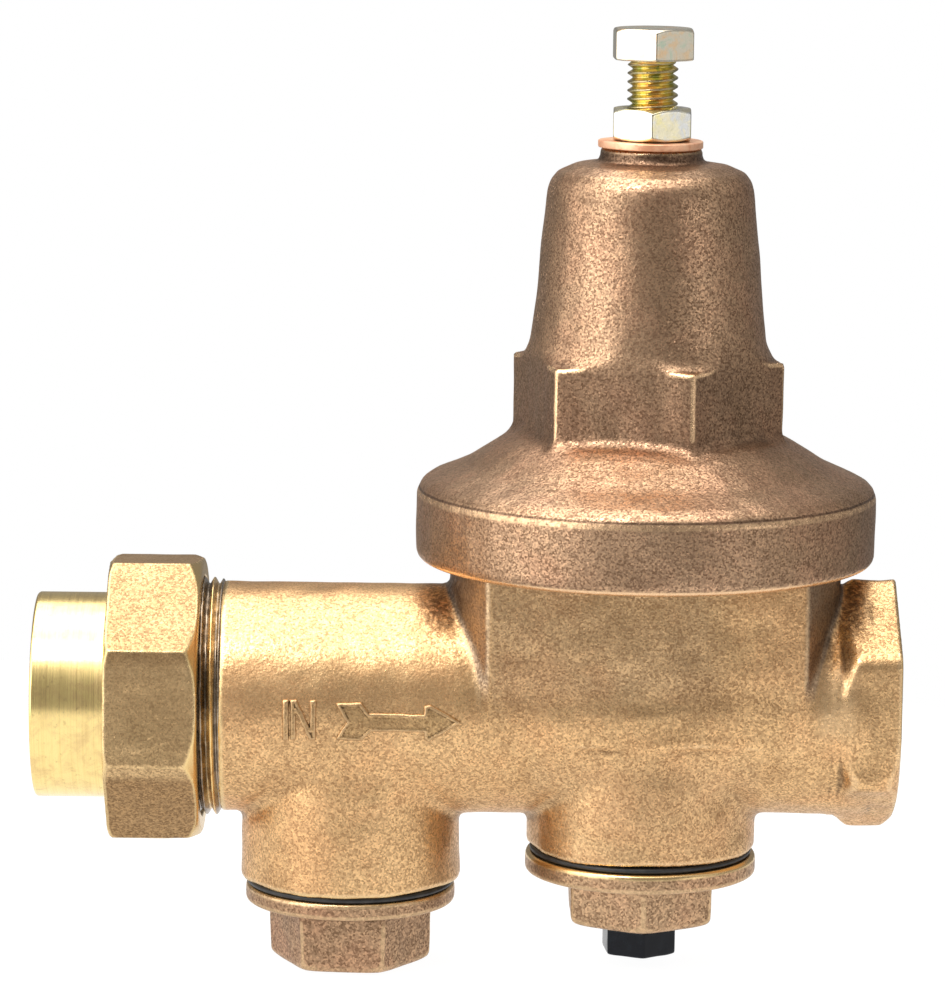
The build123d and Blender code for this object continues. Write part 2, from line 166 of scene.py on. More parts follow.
def chunks(fn, P, size=400000):
    out = np.empty(len(P))
    for i in range(0, len(P), size):
        out[i:i + size] = fn(P[i:i + size])
    return out


def field_mesh(name, fn, lo, hi, h, attrs=None, curve_step=None):
    """closed mesh of fn = 0 (millimetres) by surface nets, then put exactly on the surface"""
    h = h * K
    lo = np.array(lo, float) - 1.5 * h
    hi = np.array(hi, float) + 1.5 * h
    B = 8
    nb = np.ceil((hi - lo) / (h * B)).astype(int)
    n = nb * B
    gx = [lo[a] + (np.arange(nb[a]) + 0.5) * B * h for a in range(3)]
    C = np.stack(np.meshgrid(*gx, indexing="ij"), -1).reshape(-1, 3)
    fc = chunks(fn, C).reshape(nb)
    act = np.abs(fc) < B * h * 0.866 * 1.2 + 1.5 * h

    def up(a):
        return a.repeat(B, 0).repeat(B, 1).repeat(B, 2)

    F = np.full(tuple(n + 1), 1e3, F32)
    F[:-1, :-1, :-1] = up(np.where(fc < 0, -1e3, 1e3).astype(F32))
    M = np.zeros(F.shape, bool)
    a = up(act)
    for i in (0, 1):
        for j in (0, 1):
            for k in (0, 1):
                M[i:i + n[0], j:j + n[1], k:k + n[2]] |= a
    idx = np.argwhere(M)
    F[M] = chunks(fn, lo + idx * h)
    F[0], F[-1] = 1e3, 1e3
    F[:, 0], F[:, -1] = 1e3, 1e3
    F[:, :, 0], F[:, :, -1] = 1e3, 1e3
    S = F < 0
    cnt = np.zeros(tuple(n), np.uint8)
    for i in (0, 1):
        for j in (0, 1):
            for k in (0, 1):
                cnt += S[i:i + n[0], j:j + n[1], k:k + n[2]]
    cells = np.argwhere((cnt > 0) & (cnt < 8))
    offs = np.array([(i, j, k) for i in (0, 1) for j in (0, 1) for k in (0, 1)])
    vals = np.stack([F[cells[:, 0] + o[0], cells[:, 1] + o[1], cells[:, 2] + o[2]] for o in offs], 1).astype(float)
    edges = [(p, q) for p in range(8) for q in range(p + 1, 8) if np.abs(offs[p] - offs[q]).sum() == 1]
    acc = np.zeros((len(cells), 3))
    num = np.zeros(len(cells))
    for p, q in edges:
        fp, fq = vals[:, p], vals[:, q]
        m = (fp < 0) != (fq < 0)
        t = np.where(m, fp / np.where(m, fp - fq, 1), 0)
        acc += m[:, None] * (offs[p] + t[:, None] * (offs[q] - offs[p]))
        num += m
    V = lo + (cells + acc / num[:, None]) * h
    cid = np.full(tuple(n), -1, np.int32)
    cid[cells[:, 0], cells[:, 1], cells[:, 2]] = np.arange(len(cells))
    quads = []
    for ax in range(3):
        b1, b2 = (ax + 1) % 3, (ax + 2) % 3
        s0 = [slice(None)] * 3
        s1 = [slice(None)] * 3
        s0[ax], s1[ax] = slice(0, -1), slice(1, None)
        A0, A1 = S[tuple(s0)], S[tuple(s1)]
        e = np.argwhere(A0 != A1)
        e = e[(e[:, b1] > 0) & (e[:, b2] > 0) & (e[:, b1] < n[b1]) & (e[:, b2] < n[b2])]
        q = []
        for d1, d2 in ((1, 1), (0, 1), (0, 0), (1, 0)):
            c = e.copy()
            c[:, b1] -= d1
            c[:, b2] -= d2
            q.append(cid[c[:, 0], c[:, 1], c[:, 2]])
        q = np.stack(q, 1)
        flip = ~A0[e[:, 0], e[:, 1], e[:, 2]]
        q[flip] = q[flip][:, ::-1]
        quads.append(q)
    Q = np.concatenate(quads)

    def grad(P, s):
        g = np.empty((len(P), 3))
        for k in range(3):
            d = np.zeros(3)
            d[k] = s
            g[:, k] = chunks(fn, P + d) - chunks(fn, P - d)
        return g / (2 * s)

    for _ in range(2):
        g = grad(V, 0.06 * h)
        f = chunks(fn, V)
        step = f[:, None] * g / np.maximum((g * g).sum(1), 0.2)[:, None]
        ln = np.linalg.norm(step, axis=1)
        V = V - step * np.minimum(1, 0.45 * h / np.maximum(ln, 1e-9))[:, None]
    me = bpy.data.meshes.new(name)
    me.vertices.add(len(V))
    me.vertices.foreach_set("co", (V * MM).ravel())
    me.loops.add(len(Q) * 4)
    me.loops.foreach_set("vertex_index", Q.ravel())
    me.polygons.add(len(Q))
    me.polygons.foreach_set("loop_start", np.arange(0, len(Q) * 4, 4))
    me.polygons.foreach_set("loop_total", np.full(len(Q), 4))
    me.update(calc_edges=True)
    me.polygons.foreach_set("use_smooth", np.ones(len(Q), bool))
    # how convex or hollow the surface is, for worn bright edges, and for hollows darkened by grime and painted shadow
    cs = curve_step or 0.9
    lap = np.zeros(len(V))
    f0 = chunks(fn, V)
    for k in range(3):
        d = np.zeros(3)
        d[k] = cs
        lap += chunks(fn, V + d) + chunks(fn, V - d) - 2 * f0
    lap /= cs                       # about curvature x step: 1 on a sharp convex edge
    put(me, "edge", np.clip(lap, 0, 1.5))
    put(me, "cav", np.clip(-lap, 0, 1.5))
    for key, f in (attrs or {}).items():
        put(me, key, f(V))
    o = bpy.data.objects.new(name, me)
    scene.collection.objects.link(o)
    return o


def put(me, key, values):
    at = me.attributes.new(key, "FLOAT", "POINT")
    at.data.foreach_set("value", np.asarray(values, F32))


# ------------------------------------------------------------------ turned and threaded meshes
AX = {
    "z": (Vector((1, 0, 0)), Vector((0, 1, 0)), Vector((0, 0, 1))),
    "x": (Vector((0, 1, 0)), Vector((0, 0, 1)), Vector((1, 0, 0))),
}


def grid_mesh(name, P, closed_u, attrs=None):
    """P is (nu, nv, 3) in mm, v runs round; closed_u joins the last ring to the first"""
    nu, nv = P.shape[:2]
    i = np.arange(nu if closed_u else nu - 1)[:, None]
    j = np.arange(nv)[None, :]
    i2, j2 = (i + 1) % nu, (j + 1) % nv
    Q = np.stack([i * nv + j, i * nv + j2, i2 * nv + j2, i2 * nv + j], -1).reshape(-1, 4)
    me = bpy.data.meshes.new(name)
    me.from_pydata([], [], [])
    me.vertices.add(nu * nv)
    me.vertices.foreach_set("co", (P.reshape(-1, 3) * MM).ravel())
    me.loops.add(len(Q) * 4)
    me.loops.foreach_set("vertex_index", Q.ravel())
    me.polygons.add(len(Q))
    me.polygons.foreach_set("loop_start", np.arange(0, len(Q) * 4, 4))
    me.polygons.foreach_set("loop_total", np.full(len(Q), 4))
    me.update(calc_edges=True)
    for key, v in (attrs or {}).items():
        put(me, key, v)
    o = bpy.data.objects.new(name, me)
    scene.collection.objects.link(o)
    return o


def ring_points(axis, centre, r, w, seg):
    """r, w arrays (nu, seg): radius and height of each point"""
    e1, e2, e3 = (np.array(v) for v in AX[axis])
    th = np.arange(seg) * 2 * math.pi / seg
    P = (r[..., None] * (np.cos(th)[None, :, None] * e1 + np.sin(th)[None, :, None] * e2)
         + w[..., None] * e3 + np.array(centre, float))
    return P


def outward(o):
    """makes the faces point out"""
    import bmesh
    bm = bmesh.new()
    bm.from_mesh(o.data)
    bmesh.ops.recalc_face_normals(bm, faces=bm.faces)
    bm.to_mesh(o.data)
    bm.free()


def lathe(name, axis, centre, prof, seg=160, bevel=0.15, sharp=30, wobble=None):
    """closed ring or solid turned from prof [(radius, height)...], corners softened by bevel"""
    seg = int(seg / K)
    pts = []
    p = [np.array(a, float) for a in prof]
    n = len(p)
    for i in range(n):
        a, b, c = p[i - 1], p[i], p[(i + 1) % n]
        u, v = a - b, c - b
        lu, lv = np.linalg.norm(u), np.linalg.norm(v)
        u, v = u / lu, v / lv
        if b[0] < 1e-6 or np.dot(u, v) < -0.985:
            pts.append(b)
            continue
        k = min(bevel, 0.35 * lu, 0.35 * lv)
        s, e = b + u * k, b + v * k
        for t in (0, 0.5, 1):
            pts.append((1 - t) ** 2 * s + 2 * t * (1 - t) * b + t * t * e)
    pts = np.array(pts)
    r = np.repeat(np.maximum(pts[:, 0], 0)[:, None], seg, 1)
    w = np.repeat(pts[:, 1][:, None], seg, 1)
    th = np.arange(seg) * 2 * math.pi / seg
    if wobble is not None:
        w = w + wobble(r, th[None, :])
    o = grid_mesh(name, ring_points(axis, centre, r, w, seg), True)
    weld(o)
    for f in o.data.polygons:
        f.use_smooth = True
    o.data.set_sharp_from_angle(angle=math.radians(sharp))
    return o


def weld(o, dist=1e-7):
    import bmesh
    bm = bmesh.new()
    bm.from_mesh(o.data)
    bmesh.ops.remove_doubles(bm, verts=bm.verts, dist=dist)
    loose = [f for f in bm.faces if f.calc_area() < 1e-16]
    if loose:
        bmesh.ops.delete(bm, geom=loose, context="FACES")
    bmesh.ops.recalc_face_normals(bm, faces=bm.faces)
    bm.to_mesh(o.data)
    bm.free()


def thread_shape(phase, crest=0.14, root=0.12):
    """0 at the root to 1 at the crest of a V thread"""
    t = np.abs(np.mod(phase, 1.0) - 0.5) * 2        # 0 at the crest, 1 at the root
    return np.clip((1 - root - t) / (1 - root - crest), 0, 1)


def threaded(name, axis, centre, crest_r, depth, pitch, w0, w1, core_r, seg=128, steps=14, taper=0.0,
             inside=False, fade0=0.7, fade1=0.7):
    """a sleeve with a real helical thread on its outer (or inner) face"""
    seg = int(seg / K)
    nu = int((w1 - w0) / pitch * steps / K)
    w = np.linspace(w0, w1, nu)
    th = np.arange(seg) / seg
    sh = thread_shape(w[:, None] / pitch - th[None, :])
    f0 = np.clip((w - w0) / (fade0 * pitch), 0, 1) if fade0 else np.ones(nu)
    f1 = np.clip((w1 - w) / (fade1 * pitch), 0, 1) if fade1 else np.ones(nu)
    fade = (f0 * f1)[:, None]
    tap = ((w - w0) * taper)[:, None]
    if inside:
        r = crest_r + tap + depth * (1 - sh * fade)
    else:
        r = crest_r + tap - depth * (1 - sh * fade)
    W = np.repeat(w[:, None], seg, 1)
    core = np.full((1, seg), float(core_r))
    r = np.concatenate([core, r, core])
    W = np.concatenate([W[:1], W, W[-1:]])
    o = grid_mesh(name, ring_points(axis, centre, r, W, seg), True)
    for f in o.data.polygons:
        f.use_smooth = True
    outward(o)
    o.data.set_sharp_from_angle(angle=math.radians(50))
    return o


# ------------------------------------------------------------------ materials
class Mat:
    """a node material, coordinates in millimetres of the object"""

    def __init__(self, name):
        self.m = bpy.data.materials.new(name)
        self.m.use_nodes = True
        self.t = self.m.node_tree
        self.t.nodes.clear()
        out = self.n("ShaderNodeOutputMaterial")
        self.p = self.n("ShaderNodeBsdfPrincipled")
        self.link(self.p.outputs[0], out.inputs[0])
        tc = self.n("ShaderNodeTexCoord")
        mp = self.n("ShaderNodeMapping")
        mp.inputs["Scale"].default_value = (1000, 1000, 1000)
        self.link(tc.outputs["Object"], mp.inputs["Vector"])
        self.co = mp.outputs[0]

    def n(self, kind):
        return self.t.nodes.new(kind)

    def link(self, a, b):
        self.t.links.new(a, b)

    def feed(self, sock, v):
        if isinstance(v, (int, float)):
            sock.default_value = v
        elif isinstance(v, (tuple, list)):
            sock.default_value = tuple(v) + ((1.0,) if len(v) == 3 and len(sock.default_value) == 4 else ())
        else:
            self.link(v, sock)

    def stretched(self, scale):
        mp = self.n("ShaderNodeMapping")
        mp.inputs["Scale"].default_value = scale
        self.link(self.co, mp.inputs["Vector"])
        return mp.outputs[0]

    def noise(self, size, detail=2.0, rough=0.5, dist=0.0, co=None):
        nd = self.n("ShaderNodeTexNoise")
        self.link(co or self.co, nd.inputs["Vector"])
        nd.inputs["Scale"].default_value = 1.0 / size
        nd.inputs["Detail"].default_value = detail
        nd.inputs["Roughness"].default_value = rough
        nd.inputs["Distortion"].default_value = dist
        return nd.outputs["Fac"]

    def cells(self, size, feature="F1", out="Distance", co=None, rand=1.0):
        nd = self.n("ShaderNodeTexVoronoi")
        nd.feature = feature
        self.link(co or self.co, nd.inputs["Vector"])
        nd.inputs["Scale"].default_value = 1.0 / size
        nd.inputs["Randomness"].default_value = rand
        return nd.outputs[out]

    def ramp(self, fac, stops, smooth=False):
        nd = self.n("ShaderNodeValToRGB")
        self.link(fac, nd.inputs[0])
        cr = nd.color_ramp
        cr.interpolation = "EASE" if smooth else "LINEAR"
        while len(cr.elements) < len(stops):
            cr.elements.new(0.5)
        for e, (pos, c) in zip(cr.elements, stops):
            e.position = pos
            e.color = (c, c, c, 1) if isinstance(c, (int, float)) else (*c, 1)
        return nd.outputs[0]

    def mix(self, fac, a, b, blend="MIX"):
        nd = self.n("ShaderNodeMix")
        nd.data_type = "RGBA"
        nd.blend_type = blend
        nd.clamp_factor = True
        self.feed(nd.inputs[0], fac)
        self.feed(nd.inputs[6], a)
        self.feed(nd.inputs[7], b)
        return nd.outputs[2]

    def math(self, op, a, b=0.0, c=0.0, clamp=False):
        nd = self.n("ShaderNodeMath")
        nd.operation = op
        nd.use_clamp = clamp
        self.feed(nd.inputs[0], a)
        self.feed(nd.inputs[1], b)
        self.feed(nd.inputs[2], c)
        return nd.outputs[0]

    def attr(self, name):
        nd = self.n("ShaderNodeAttribute")
        nd.attribute_name = name
        return nd.outputs["Fac"]

    def sep(self, co=None):
        nd = self.n("ShaderNodeSeparateXYZ")
        self.link(co or self.co, nd.inputs[0])
        return nd.outputs

    def bump(self, height, strength, distance_mm, normal=None):
        nd = self.n("ShaderNodeBump")
        nd.inputs["Strength"].default_value = strength
        nd.inputs["Distance"].default_value = distance_mm * MM
        self.link(height, nd.inputs["Height"])
        if normal is not None:
            self.link(normal, nd.inputs["Normal"])
        return nd.outputs[0]

    def set(self, **kw):
        for k, v in kw.items():
            self.feed(self.p.inputs[k.replace("_", " ")], v)
        return self.m


def pulse(s, v, centre, half, soft=0.25):
    """1 within half of centre, falling to 0 over soft"""
    d = s.math("ABSOLUTE", s.math("SUBTRACT", v, centre))
    nd = s.n("ShaderNodeMapRange")
    nd.interpolation_type = "SMOOTHSTEP"
    s.link(d, nd.inputs[0])
    for i, k in enumerate((half, half + soft, 1.0, 0.0)):
        nd.inputs[i + 1].default_value = k
    return nd.outputs[0]


def step(s, v, lo, hi):
    nd = s.n("ShaderNodeMapRange")
    nd.interpolation_type = "SMOOTHSTEP"
    s.link(v, nd.inputs[0])
    for i, k in enumerate((lo, hi, 0.0, 1.0)):
        nd.inputs[i + 1].default_value = k
    return nd.outputs[0]


def radius(s, x0):
    x, y, z = s.sep()
    dx = s.math("SUBTRACT", x, x0)
    return s.math("SQRT", s.math("ADD", s.math("MULTIPLY", dx, dx), s.math("MULTIPLY", y, y))), z


def cast_bronze(name, low, mid, high, rough=0.46, grain=0.5, bump=0.55, speck=0.5, edge=(0.95, 0.72, 0.42),
                edge_gain=1.0, hollow_dirt_and_shade=0.75, mach_col=(0.86, 0.63, 0.32), tint=(1.0, 0.86, 0.8), tint_amt=0.3,
                gold=None, dark_lines=None, painted_shade=None, painted_shade_col=(0.6, 0.58, 0.58), dark_tone=(0.36, 0.30, 0.27), light_tone=(1.75, 1.7, 1.65), edge_at=(0.34, 0.75)):
    """sand-cast bronze: fine sparkling grain, worn bright edges, hollows darkened by grime and painted shadow,
    optional painted highlights and painted shading by position, machined faces by attribute
    """
    s = Mat(name)
    big = s.noise(26, 3, 0.55)
    patch = s.noise(7, 4, 0.6, 0.4)
    tone = s.math("ADD", s.math("MULTIPLY", big, 0.6), s.math("MULTIPLY", patch, 0.4))
    base = s.ramp(tone, [(0.34, low), (0.5, mid), (0.66, high)], True)
    # optional painted shading by position on the piece, multiplying in the given shading colour
    if painted_shade is not None:
        base = s.mix(painted_shade(s), base, s.mix(1.0, base, painted_shade_col, "MULTIPLY"))
    pink = s.ramp(s.noise(14, 3, 0.6, 0.3), [(0.42, 0.0), (0.66, 1.0)], True)
    base = s.mix(s.math("MULTIPLY", pink, tint_amt), base, s.mix(1.0, base, tint, "MULTIPLY"))
    g1 = s.noise(grain, 2.0, 0.6)
    g2 = s.noise(grain * 2.6, 2, 0.5)
    cell = s.n("ShaderNodeTexVoronoi")
    s.link(s.co, cell.inputs["Vector"])
    cell.inputs["Scale"].default_value = 1.0 / (grain * 0.9)
    sand = s.math("MULTIPLY", s.sep(cell.outputs["Color"])[0], 1.0)
    grains = s.math("ADD", s.math("MULTIPLY", g1, 0.45), s.math("MULTIPLY", sand, 0.55))
    dark = s.ramp(grains, [(0.26, 1.0), (0.48, 0.0)])
    light = s.ramp(grains, [(0.52, 0.0), (0.74, 1.0)])
    base = s.mix(s.math("MULTIPLY", dark, speck), base, s.mix(1.0, base, dark_tone, "MULTIPLY"))
    base = s.mix(s.math("MULTIPLY", light, speck), base, s.mix(1.0, base, light_tone, "MULTIPLY"))
    e = s.attr("edge")
    wear_and_highlight = s.math("MULTIPLY", s.ramp(s.math("ADD", e, s.math("MULTIPLY", s.math("SUBTRACT", g2, 0.5), 0.55)),
                                     [(edge_at[0], 0.0), (edge_at[1], 1.0)], True), edge_gain, clamp=True)
    # optional bright lines by position laid over the worn edges: painted highlights on the body and the bell's rim
    # lip, real machined lines on the bell's foot and the plug flanges
    if gold is not None:
        wear_and_highlight = s.math("MAXIMUM", wear_and_highlight, gold(s, g2))
    base = s.mix(wear_and_highlight, base, edge)
    # hollows darkened to grey: grime together with painted shadow in the recesses
    c = s.attr("cav")
    hollow = s.ramp(s.math("ADD", c, s.math("MULTIPLY", s.math("SUBTRACT", g2, 0.5), 0.4)), [(0.14, 0.0), (0.6, 1.0)], True)
    hollow = s.math("MULTIPLY", hollow, hollow_dirt_and_shade)
    # optional dark lines by position laid into the hollows: painted shadow lines on the bell, dark crevice marks on
    # the body
    if dark_lines is not None:
        hollow = s.math("MAXIMUM", hollow, dark_lines(s, g2))
    base = s.mix(hollow, base, s.mix(1.0, base, (0.27, 0.26, 0.28), "MULTIPLY"))
    r = s.math("ADD", s.math("MULTIPLY", s.math("SUBTRACT", grains, 0.5), -0.35), rough)
    r = s.math("SUBTRACT", r, s.math("MULTIPLY", wear_and_highlight, 0.1))
    height = s.math("ADD", s.math("MULTIPLY", grains, 0.8), s.math("MULTIPLY", g2, 0.45))
    n1 = s.bump(height, bump, 0.15)
    n2 = s.bump(patch, 0.3, 0.35, n1)
    m = s.attr("mach")
    lines = s.noise(0.18, 1, 0.5)
    base = s.mix(m, base, s.mix(s.math("MULTIPLY", lines, 0.35), mach_col, s.mix(1.0, mach_col + (1,), (0.6, 0.5, 0.4), "MULTIPLY")))
    r = s.math("ADD", s.math("MULTIPLY", r, s.math("SUBTRACT", 1.0, m)), s.math("MULTIPLY", m, 0.26))
    s.set(Base_Color=base, Metallic=1.0, Roughness=r)
    s.p.inputs["Specular Tint"].default_value = (0.85, 0.85, 0.85, 1)
    mixn = s.n("ShaderNodeMix")
    mixn.data_type = "VECTOR"
    s.feed(mixn.inputs[0], m)
    s.link(n2, mixn.inputs[4])
    s.link(s.bump(lines, 0.12, 0.05), mixn.inputs[5])
    s.link(mixn.outputs[1], s.p.inputs["Normal"])
    return s.m


def turned_brass(name, col, dull, axis="x", rough=0.16, mott=0.5, line=0.14, lines=0.3):
    """machined brass: fine rings round the axis and a faint tarnish"""
    s = Mat(name)
    sc = (3.2, 0.04, 0.04) if axis == "x" else (0.04, 0.04, 3.2)
    co = s.stretched(sc)
    ring = s.noise(1.0, 4, 0.65, co=co)
    fine = s.noise(0.35, 2, 0.6, co=co)
    tarn = s.noise(4.0, 5, 0.65, 0.5)
    spot = s.ramp(s.noise(1.1, 3, 0.6), [(0.62, 0.0), (0.72, 1.0)])
    base = s.mix(s.math("MULTIPLY", s.ramp(tarn, [(0.42, 0.0), (0.7, 1.0)], True), mott), col, dull)
    base = s.mix(s.math("MULTIPLY", s.ramp(ring, [(0.35, 1.0), (0.55, 0.0)]), 0.35), base, s.mix(1.0, base, (0.72, 0.66, 0.55), "MULTIPLY"))
    base = s.mix(s.math("MULTIPLY", spot, 0.3), base, (0.25, 0.15, 0.06))
    r = s.math("ADD", s.math("MULTIPLY", ring, 0.16), s.math("ADD", s.math("MULTIPLY", tarn, 0.12), rough))
    nrm = s.bump(s.math("ADD", ring, s.math("MULTIPLY", fine, 0.5)), lines, 0.02)
    return s.set(Base_Color=base, Metallic=1.0, Roughness=r, Normal=nrm)


def zinc(name, col, tint_a, tint_b, rough=0.17, tint=0.35, bump=0.05):
    """plated steel with the cloudy rainbow of a passivate film"""
    s = Mat(name)
    cloud = s.noise(3.4, 3, 0.6, 0.6)
    cloud2 = s.noise(2.1, 2, 0.5)
    film = s.ramp(cloud, [(0.34, tint_a), (0.5, col), (0.66, tint_b)], True)
    base = s.mix(tint, col, film)
    scr = s.noise(0.35, 3, 0.7)
    base = s.mix(s.math("MULTIPLY", s.ramp(scr, [(0.28, 1.0), (0.4, 0.0)]), 0.35), base, (0.32, 0.3, 0.27))
    e = s.attr("edge")
    base = s.mix(s.math("MULTIPLY", s.ramp(e, [(0.3, 0.0), (0.9, 1.0)]), 0.6), base, (0.22, 0.21, 0.19))
    r = s.math("ADD", s.math("MULTIPLY", cloud2, 0.14), rough)
    return s.set(Base_Color=base, Metallic=1.0, Roughness=r, Normal=s.bump(s.noise(0.9, 4, 0.6), bump, 0.2))


def rubber(name, col=(0.012, 0.012, 0.013)):
    s = Mat(name)
    g = s.noise(0.5, 3, 0.6)
    base = s.mix(s.ramp(s.noise(2.5, 3, 0.6), [(0.45, 0.0), (0.75, 1.0)]), col, (0.04, 0.038, 0.036))
    return s.set(Base_Color=base, Roughness=s.math("ADD", s.math("MULTIPLY", g, 0.2), 0.38), Normal=s.bump(g, 0.2, 0.05))


def plain_metal(name, col, dark, rough, grain=0.8, bump=0.15):
    s = Mat(name)
    g = s.noise(grain, 3, 0.6)
    base = s.mix(s.ramp(s.noise(3, 3, 0.6), [(0.4, 0.0), (0.7, 1.0)]), col, dark)
    return s.set(Base_Color=base, Metallic=1.0, Roughness=s.math("ADD", s.math("MULTIPLY", g, 0.15), rough), Normal=s.bump(g, bump, 0.05))


# a painted highlight as a ragged bright band on the rim's rounded lip, and the real bright machined line round the
# rim's foot
def bell_lip_highlight_and_foot_line(s, g):
    r, z = radius(s, SX)
    worn = step(s, g, 0.36, 0.56)
    lip = s.math("MULTIPLY", pulse(s, z, 39.6, 0.3, 0.45), step(s, r, 41.6, 42.2))
    lip = s.math("MULTIPLY", lip, s.math("ADD", s.math("MULTIPLY", worn, 0.6), 0.2))
    foot = s.math("MULTIPLY", pulse(s, z, 27.35, 0.5, 0.25), step(s, r, 40.0, 40.7))
    return s.math("MAXIMUM", s.math("MULTIPLY", lip, 0.85), s.math("MULTIPLY", foot, 0.95))


# painted shading on the bell: a dark line in the groove above the rim's lip, a painted shadow over the top of the boss
# under the washer, and a faint painted shadow under the rim
def bell_painted_shadow_lines(s, g):
    r, z = radius(s, SX)
    groove_shade = s.math("MULTIPLY", pulse(s, z, 40.4, 0.06, 0.28), step(s, r, 41.4, 41.9))
    top = s.math("MULTIPLY", step(s, z, 101.0, 102.0), 0.85)
    under = s.math("MULTIPLY", pulse(s, z, 28.2, 0.1, 0.35), step(s, r, 41.0, 42.0))
    return s.math("MAXIMUM", s.math("MAXIMUM", s.math("MULTIPLY", groove_shade, 0.75), top), s.math("MULTIPLY", under, 0.3))


# painted shading over the bell's hex faces, partly the hex's darker cast tone
def bell_painted_shade(s):
    r, z = radius(s, SX)
    return s.math("MULTIPLY", pulse(s, z, 57.5, 6.0, 3.0), 0.5)


def plug_gold(z_top):
    def fn(s, g):
        x, y, z = s.sep()
        return s.math("MULTIPLY", pulse(s, z, z_top - 0.35, 0.3, 0.25), s.math("ADD", s.math("MULTIPLY", step(s, g, 0.35, 0.6), 0.5), 0.4))
    return fn


# darker marks by position on the body: a ragged dark line where the barrel meets the union thread, and dark patches in
# the crevices beside the top of the hub
def body_lines(s, g):
    x, y, z = s.sep()
    rag = s.math("MULTIPLY", pulse(s, x, -125.35, 0.12, 0.3), step(s, g, 0.38, 0.52))
    dx = s.math("ABSOLUTE", s.math("SUBTRACT", x, SX))
    crevice_dark = s.math("MULTIPLY", s.math("MULTIPLY", pulse(s, dx, 37.8, 1.5, 4.5), step(s, z, 13.0, 18.0)), step(s, g, 0.36, 0.58))
    return s.math("MAXIMUM", s.math("MULTIPLY", rag, 0.9), s.math("MULTIPLY", crevice_dark, 0.8))


# painted shading on the body by position: darker hub flats (partly their browner patina), darkened less on the right;
# a darker, greyer band on the hub sides beside the barrel; and a slightly darker front of the right boss
def body_painted_shade(s):
    x, y, z = s.sep()
    dx = s.math("ABSOLUTE", s.math("SUBTRACT", x, SX))
    fy = s.math("ABSOLUTE", y)
    flat = s.math("MULTIPLY", s.math("MULTIPLY", step(s, dx, 29.2, 28.2), step(s, fy, 20.7, 21.3)), step(s, z, -2.0, 8.0))
    rs, _ = radius(s, SX)
    band = s.math("MULTIPLY", s.math("MULTIPLY", pulse(s, rs, 36.0, 0.9, 0.5), step(s, dx, 28.4, 29.4)), step(s, z, 2.0, 8.0))
    right = step(s, x, SX + 8.0, SX + 18.0)
    flat = s.math("MULTIPLY", flat, s.math("SUBTRACT", 0.34, s.math("MULTIPLY", right, 0.26)))
    boss = s.math("MULTIPLY", s.math("MULTIPLY", step(s, dx, 22.5, 19.5), step(s, z, -4.0, -12.0)), 0.18)
    return s.math("MAXIMUM", s.math("MAXIMUM", flat, boss), s.math("MULTIPLY", band, 0.95))


# painted highlights on the body: a bright line along the fillet where the hub meets the barrel on the left, partly a
# worn edge, and a bright spot on the front of the outlet neck
def body_painted_highlight(s, g):
    x, y, z = s.sep()
    rs, _ = radius(s, SX)
    m = s.math("MULTIPLY", pulse(s, rs, 37.35, 0.12, 0.45), s.math("MULTIPLY", step(s, z, 1.0, 6.0), step(s, z, 17.0, 13.0)))
    m = s.math("MULTIPLY", m, step(s, x, SX - 26.0, SX - 28.0))
    spot = s.math("MULTIPLY", s.math("MULTIPLY", pulse(s, x, -12.0, 1.5, 3.5), pulse(s, z, 4.5, 3.5, 6.0)), step(s, s.math("ABSOLUTE", y), 17.0, 19.0))
    return s.math("MULTIPLY", s.math("MAXIMUM", m, s.math("MULTIPLY", spot, 0.9)), s.math("ADD", s.math("MULTIPLY", g, 0.6), 0.15))


# body: painted highlights and painted shading by position; the bluish grey given below is the colour of its painted
# shading
M_BODY = cast_bronze("body_bronze", (0.52, 0.318, 0.155), (0.65, 0.415, 0.207), (0.74, 0.485, 0.248), rough=0.38, speck=0.62, bump=0.85, grain=0.36,
                     edge=(0.92, 0.64, 0.36), edge_gain=0.5, hollow_dirt_and_shade=0.75, tint=(1.0, 0.89, 0.86), tint_amt=0.55, dark_lines=body_lines,
                     gold=body_painted_highlight, painted_shade=body_painted_shade, painted_shade_col=(0.46, 0.52, 0.70), dark_tone=(0.50, 0.43, 0.38), light_tone=(1.6, 1.58, 1.5))
# relief: hollows darkened fully, grime together with painted shadow along the outlines of the arrow and letters
M_RELIEF = cast_bronze("relief_bronze", (0.40, 0.25, 0.12), (0.48, 0.31, 0.15), (0.56, 0.37, 0.18), rough=0.42, speck=0.62, bump=0.85, grain=0.36,
                       edge=(0.66, 0.45, 0.25), edge_gain=0.5, hollow_dirt_and_shade=1.0, tint=(1.0, 0.92, 0.95), tint_amt=0.3,
                       dark_tone=(0.50, 0.43, 0.38), light_tone=(1.5, 1.48, 1.42))
# bell: painted highlight on the rim lip, painted shading over the hex, painted shadows under the rim and under the
# washer
M_BELL = cast_bronze("bell_bronze", (0.335, 0.212, 0.127), (0.39, 0.249, 0.153), (0.455, 0.296, 0.184), rough=0.38, speck=0.70, bump=0.88, grain=0.36,
                     edge=(0.90, 0.60, 0.35), edge_gain=0.9, hollow_dirt_and_shade=0.6, tint=(1.04, 0.92, 0.92), tint_amt=0.5,
                     gold=bell_lip_highlight_and_foot_line, dark_lines=bell_painted_shadow_lines, painted_shade=bell_painted_shade)
M_PLUGR = cast_bronze("plug_bronze", (0.345, 0.22, 0.13), (0.425, 0.277, 0.163), (0.50, 0.335, 0.20), rough=0.42, speck=0.6, bump=0.8, grain=0.42,
                      edge=(0.85, 0.6, 0.34), edge_gain=0.4, hollow_dirt_and_shade=0.6, tint=(1.05, 0.9, 0.9), tint_amt=0.5, gold=plug_gold(-28.7))
